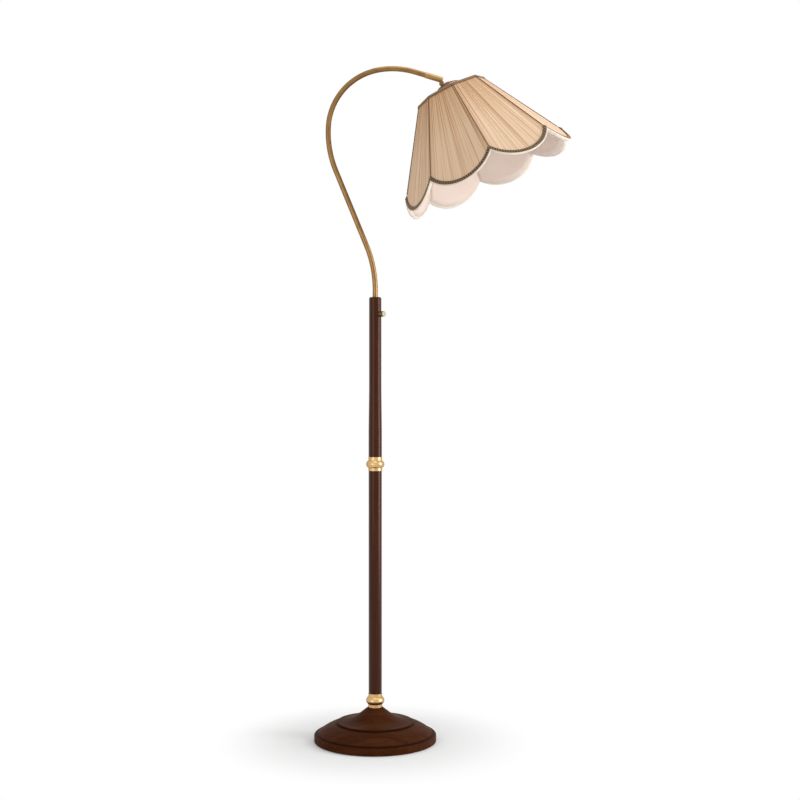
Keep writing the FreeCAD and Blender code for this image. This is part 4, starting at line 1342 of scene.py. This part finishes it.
@dataclass
class FloorFelt:
    """The felt disc under the base.  Millimetres."""

    radius: float = 136.0
    thickness: float = 1.5
    rounding: float = 0.5
    inner_rings: tuple[float, float] = (40.0, 90.0)
    around: int = 128

    def build(self) -> None:
        """Builds the disc with its rounded rim and dresses it."""
        felt = Coating("dark_felt", (0.050, 0.038, 0.030), (0.026, 0.020, 0.016), rough=0.90, grain=1500.0,
                       relief=0.6, sheen=0.35).make()
        high, edge, (core, middle) = self.thickness, self.rounding, self.inner_rings
        rings = [(core, 0.0), (middle, 0.0), (self.radius - edge, 0.0), (self.radius, edge),
                 (self.radius, high - edge), (self.radius - edge, high), (middle, high), (core, high)]
        points = [(reach * MM * math.cos(2 * math.pi * k / self.around),
                   reach * MM * math.sin(2 * math.pi * k / self.around), level * MM)
                  for reach, level in rings for k in range(self.around)]
        faces = grid_faces(len(rings), self.around, closed=True)
        faces.append(tuple(range(self.around))[::-1])
        faces.append(tuple(range((len(rings) - 1) * self.around, len(rings) * self.around)))
        made = new_piece("felt_disc", np.array(points), faces, felt)
        face_outward(made)
        for polygon in made.data.polygons:
            polygon.use_smooth = len(polygon.vertices) == 4
        dress(made, "stand", "felt", "base_pad")


# ------------------------------------------------------------------ studio


@dataclass(frozen=True)
class SoftLamp:
    """A rectangular lamp: where it stands, the point it faces, its width and height, watts and colour."""

    name: str
    place: Triple
    target: Triple
    size: tuple[float, float]
    power: float
    colour: Colour

    def hang(self) -> None:
        """Puts the lamp in the scene."""
        data = bpy.data.lights.new(self.name, "AREA")
        data.shape = "RECTANGLE"
        data.size, data.size_y = self.size
        data.energy, data.color = self.power, self.colour
        made = link_object(self.name, data)
        made.location = self.place
        made.rotation_euler = (Vector(self.target) - Vector(self.place)).to_track_quat("-Z", "Y").to_euler()


@dataclass
class Studio:
    """Floor, lights, world and camera."""

    LAMPS: ClassVar[tuple[SoftLamp, ...]] = (
        SoftLamp("key", (2.6, -0.7, 1.3), (0.05, 0.0, 1.3), (0.85, 2.5), 51.0, (0.95, 0.97, 1.0)),
        SoftLamp("top", (0.4, -0.3, 3.4), (0.05, 0.0, 0.8), (1.6, 1.6), 18.0, (1.0, 0.99, 0.98)),
        SoftLamp("fill", (-1.9, -2.7, 1.0), (0.05, 0.0, 0.8), (1.6, 1.6), 14.0, (1.0, 0.98, 0.95)))

    eye: Triple = (0.0569, -2.987, 0.782)
    lens: float = 58.5
    soft_light: float = 0.56
    soft_colour: Colour = (1.0, 0.995, 0.985)
    floor_reach: float = 12.0
    floor_colour: Colour = (0.90, 0.90, 0.90)
    floor_lift: float = 0.06
    fade_start: float = 0.16
    fade_end: float = 0.38

    def world(self) -> None:
        """A white background for the eye and the gloss, and soft light for the rest."""
        world = bpy.data.worlds.new("studio")
        bpy.context.scene.world = world
        world.use_nodes = True
        tree = world.node_tree
        tree.nodes.clear()
        soft = tree.nodes.new("ShaderNodeBackground")
        soft.inputs["Color"].default_value = (*self.soft_colour, 1.0)
        soft.inputs["Strength"].default_value = self.soft_light
        white = tree.nodes.new("ShaderNodeBackground")
        white.inputs["Color"].default_value = (*WHITE, 1.0)
        self.blend(tree, self.seen(tree), soft, white, "ShaderNodeOutputWorld")

    @staticmethod
    def blend(tree: bpy.types.NodeTree, factor: bpy.types.NodeSocket, first: bpy.types.Node,
              second: bpy.types.Node, output: str) -> None:
        """Mixes two shaders into a tree's output.

        Args:
            tree: the tree.
            factor: the second shader's share.
            first: one shader.
            second: the other shader.
            output: the output node's type.
        """
        mix = tree.nodes.new("ShaderNodeMixShader")
        tree.links.new(factor, mix.inputs["Fac"])
        tree.links.new(first.outputs[0], mix.inputs[1])
        tree.links.new(second.outputs[0], mix.inputs[2])
        tree.links.new(mix.outputs[0], tree.nodes.new(output).inputs["Surface"])

    @staticmethod
    def math(tree: bpy.types.NodeTree, operation: str, first: bpy.types.NodeSocket,
             second: bpy.types.NodeSocket | float) -> bpy.types.NodeSocket:
        """Arithmetic on two values.

        Args:
            tree: the tree that the node goes in.
            operation: what it does.
            first: one value.
            second: the other value.

        Returns:
            The result.
        """
        made = tree.nodes.new("ShaderNodeMath")
        made.operation = operation
        tree.links.new(first, made.inputs[0])
        if isinstance(second, bpy.types.NodeSocket):
            tree.links.new(second, made.inputs[1])
        else:
            made.inputs[1].default_value = second
        return made.outputs["Value"]

    def seen(self, tree: bpy.types.NodeTree) -> bpy.types.NodeSocket:
        """1 for rays of the eye, of gloss and through glass.

        Args:
            tree: the tree that the nodes go in.

        Returns:
            The value's socket.
        """
        path = tree.nodes.new("ShaderNodeLightPath")
        total = path.outputs["Is Camera Ray"]
        for name in ("Is Glossy Ray", "Is Transmission Ray"):
            total = self.math(tree, "MAXIMUM", total, path.outputs[name])
        return total

    def floor(self) -> None:
        """A pale floor that keeps the lamp's shadow and runs out to white."""
        far = self.floor_reach
        mesh = bpy.data.meshes.new("floor")
        mesh.from_pydata([(-far, -far, 0), (far, -far, 0), (far, far, 0), (-far, far, 0)], [], [(0, 1, 2, 3)])
        floor = link_object("floor", mesh)
        material = bpy.data.materials.new("pale_floor")
        material.use_nodes = True
        tree = material.node_tree
        tree.nodes.clear()
        distance = tree.nodes.new("ShaderNodeVectorMath")
        distance.operation = "LENGTH"
        tree.links.new(tree.nodes.new("ShaderNodeTexCoord").outputs["Object"], distance.inputs[0])
        fade = tree.nodes.new("ShaderNodeMapRange")
        fade.interpolation_type = "SMOOTHSTEP"
        fade.inputs["From Min"].default_value = self.fade_start
        fade.inputs["From Max"].default_value = self.fade_end
        tree.links.new(distance.outputs["Value"], fade.inputs["Value"])
        seen = self.seen(tree)
        matt = tree.nodes.new("ShaderNodeBsdfDiffuse")
        matt.inputs["Color"].default_value = (*self.floor_colour, 1.0)
        lift = tree.nodes.new("ShaderNodeEmission")
        tree.links.new(self.math(tree, "MULTIPLY", seen, self.floor_lift), lift.inputs["Strength"])
        near = tree.nodes.new("ShaderNodeAddShader")
        tree.links.new(matt.outputs[0], near.inputs[0])
        tree.links.new(lift.outputs[0], near.inputs[1])
        self.blend(tree, self.math(tree, "MULTIPLY", fade.outputs["Result"], seen), near,
                   tree.nodes.new("ShaderNodeEmission"), "ShaderNodeOutputMaterial")
        mesh.materials.append(material)

    def build(self) -> None:
        """Sets the studio up."""
        bpy.context.scene.view_settings.view_transform = "Standard"
        self.world()
        self.floor()
        for lamp in self.LAMPS:
            lamp.hang()
        data = bpy.data.cameras.new("camera")
        data.lens = self.lens
        camera = link_object("camera", data)
        camera.location = self.eye
        camera.rotation_euler = (math.pi / 2, 0.0, 0.0)
        bpy.context.scene.camera = camera


def main() -> None:
    """Builds the lamp's looks in order."""
    logging.basicConfig(level=logging.INFO, format="%(name)s: %(message)s")
    for part in (Hardware(), FloorFelt(), Shade(), Studio()):
        part.build()


if __name__ == "__main__":
    main()
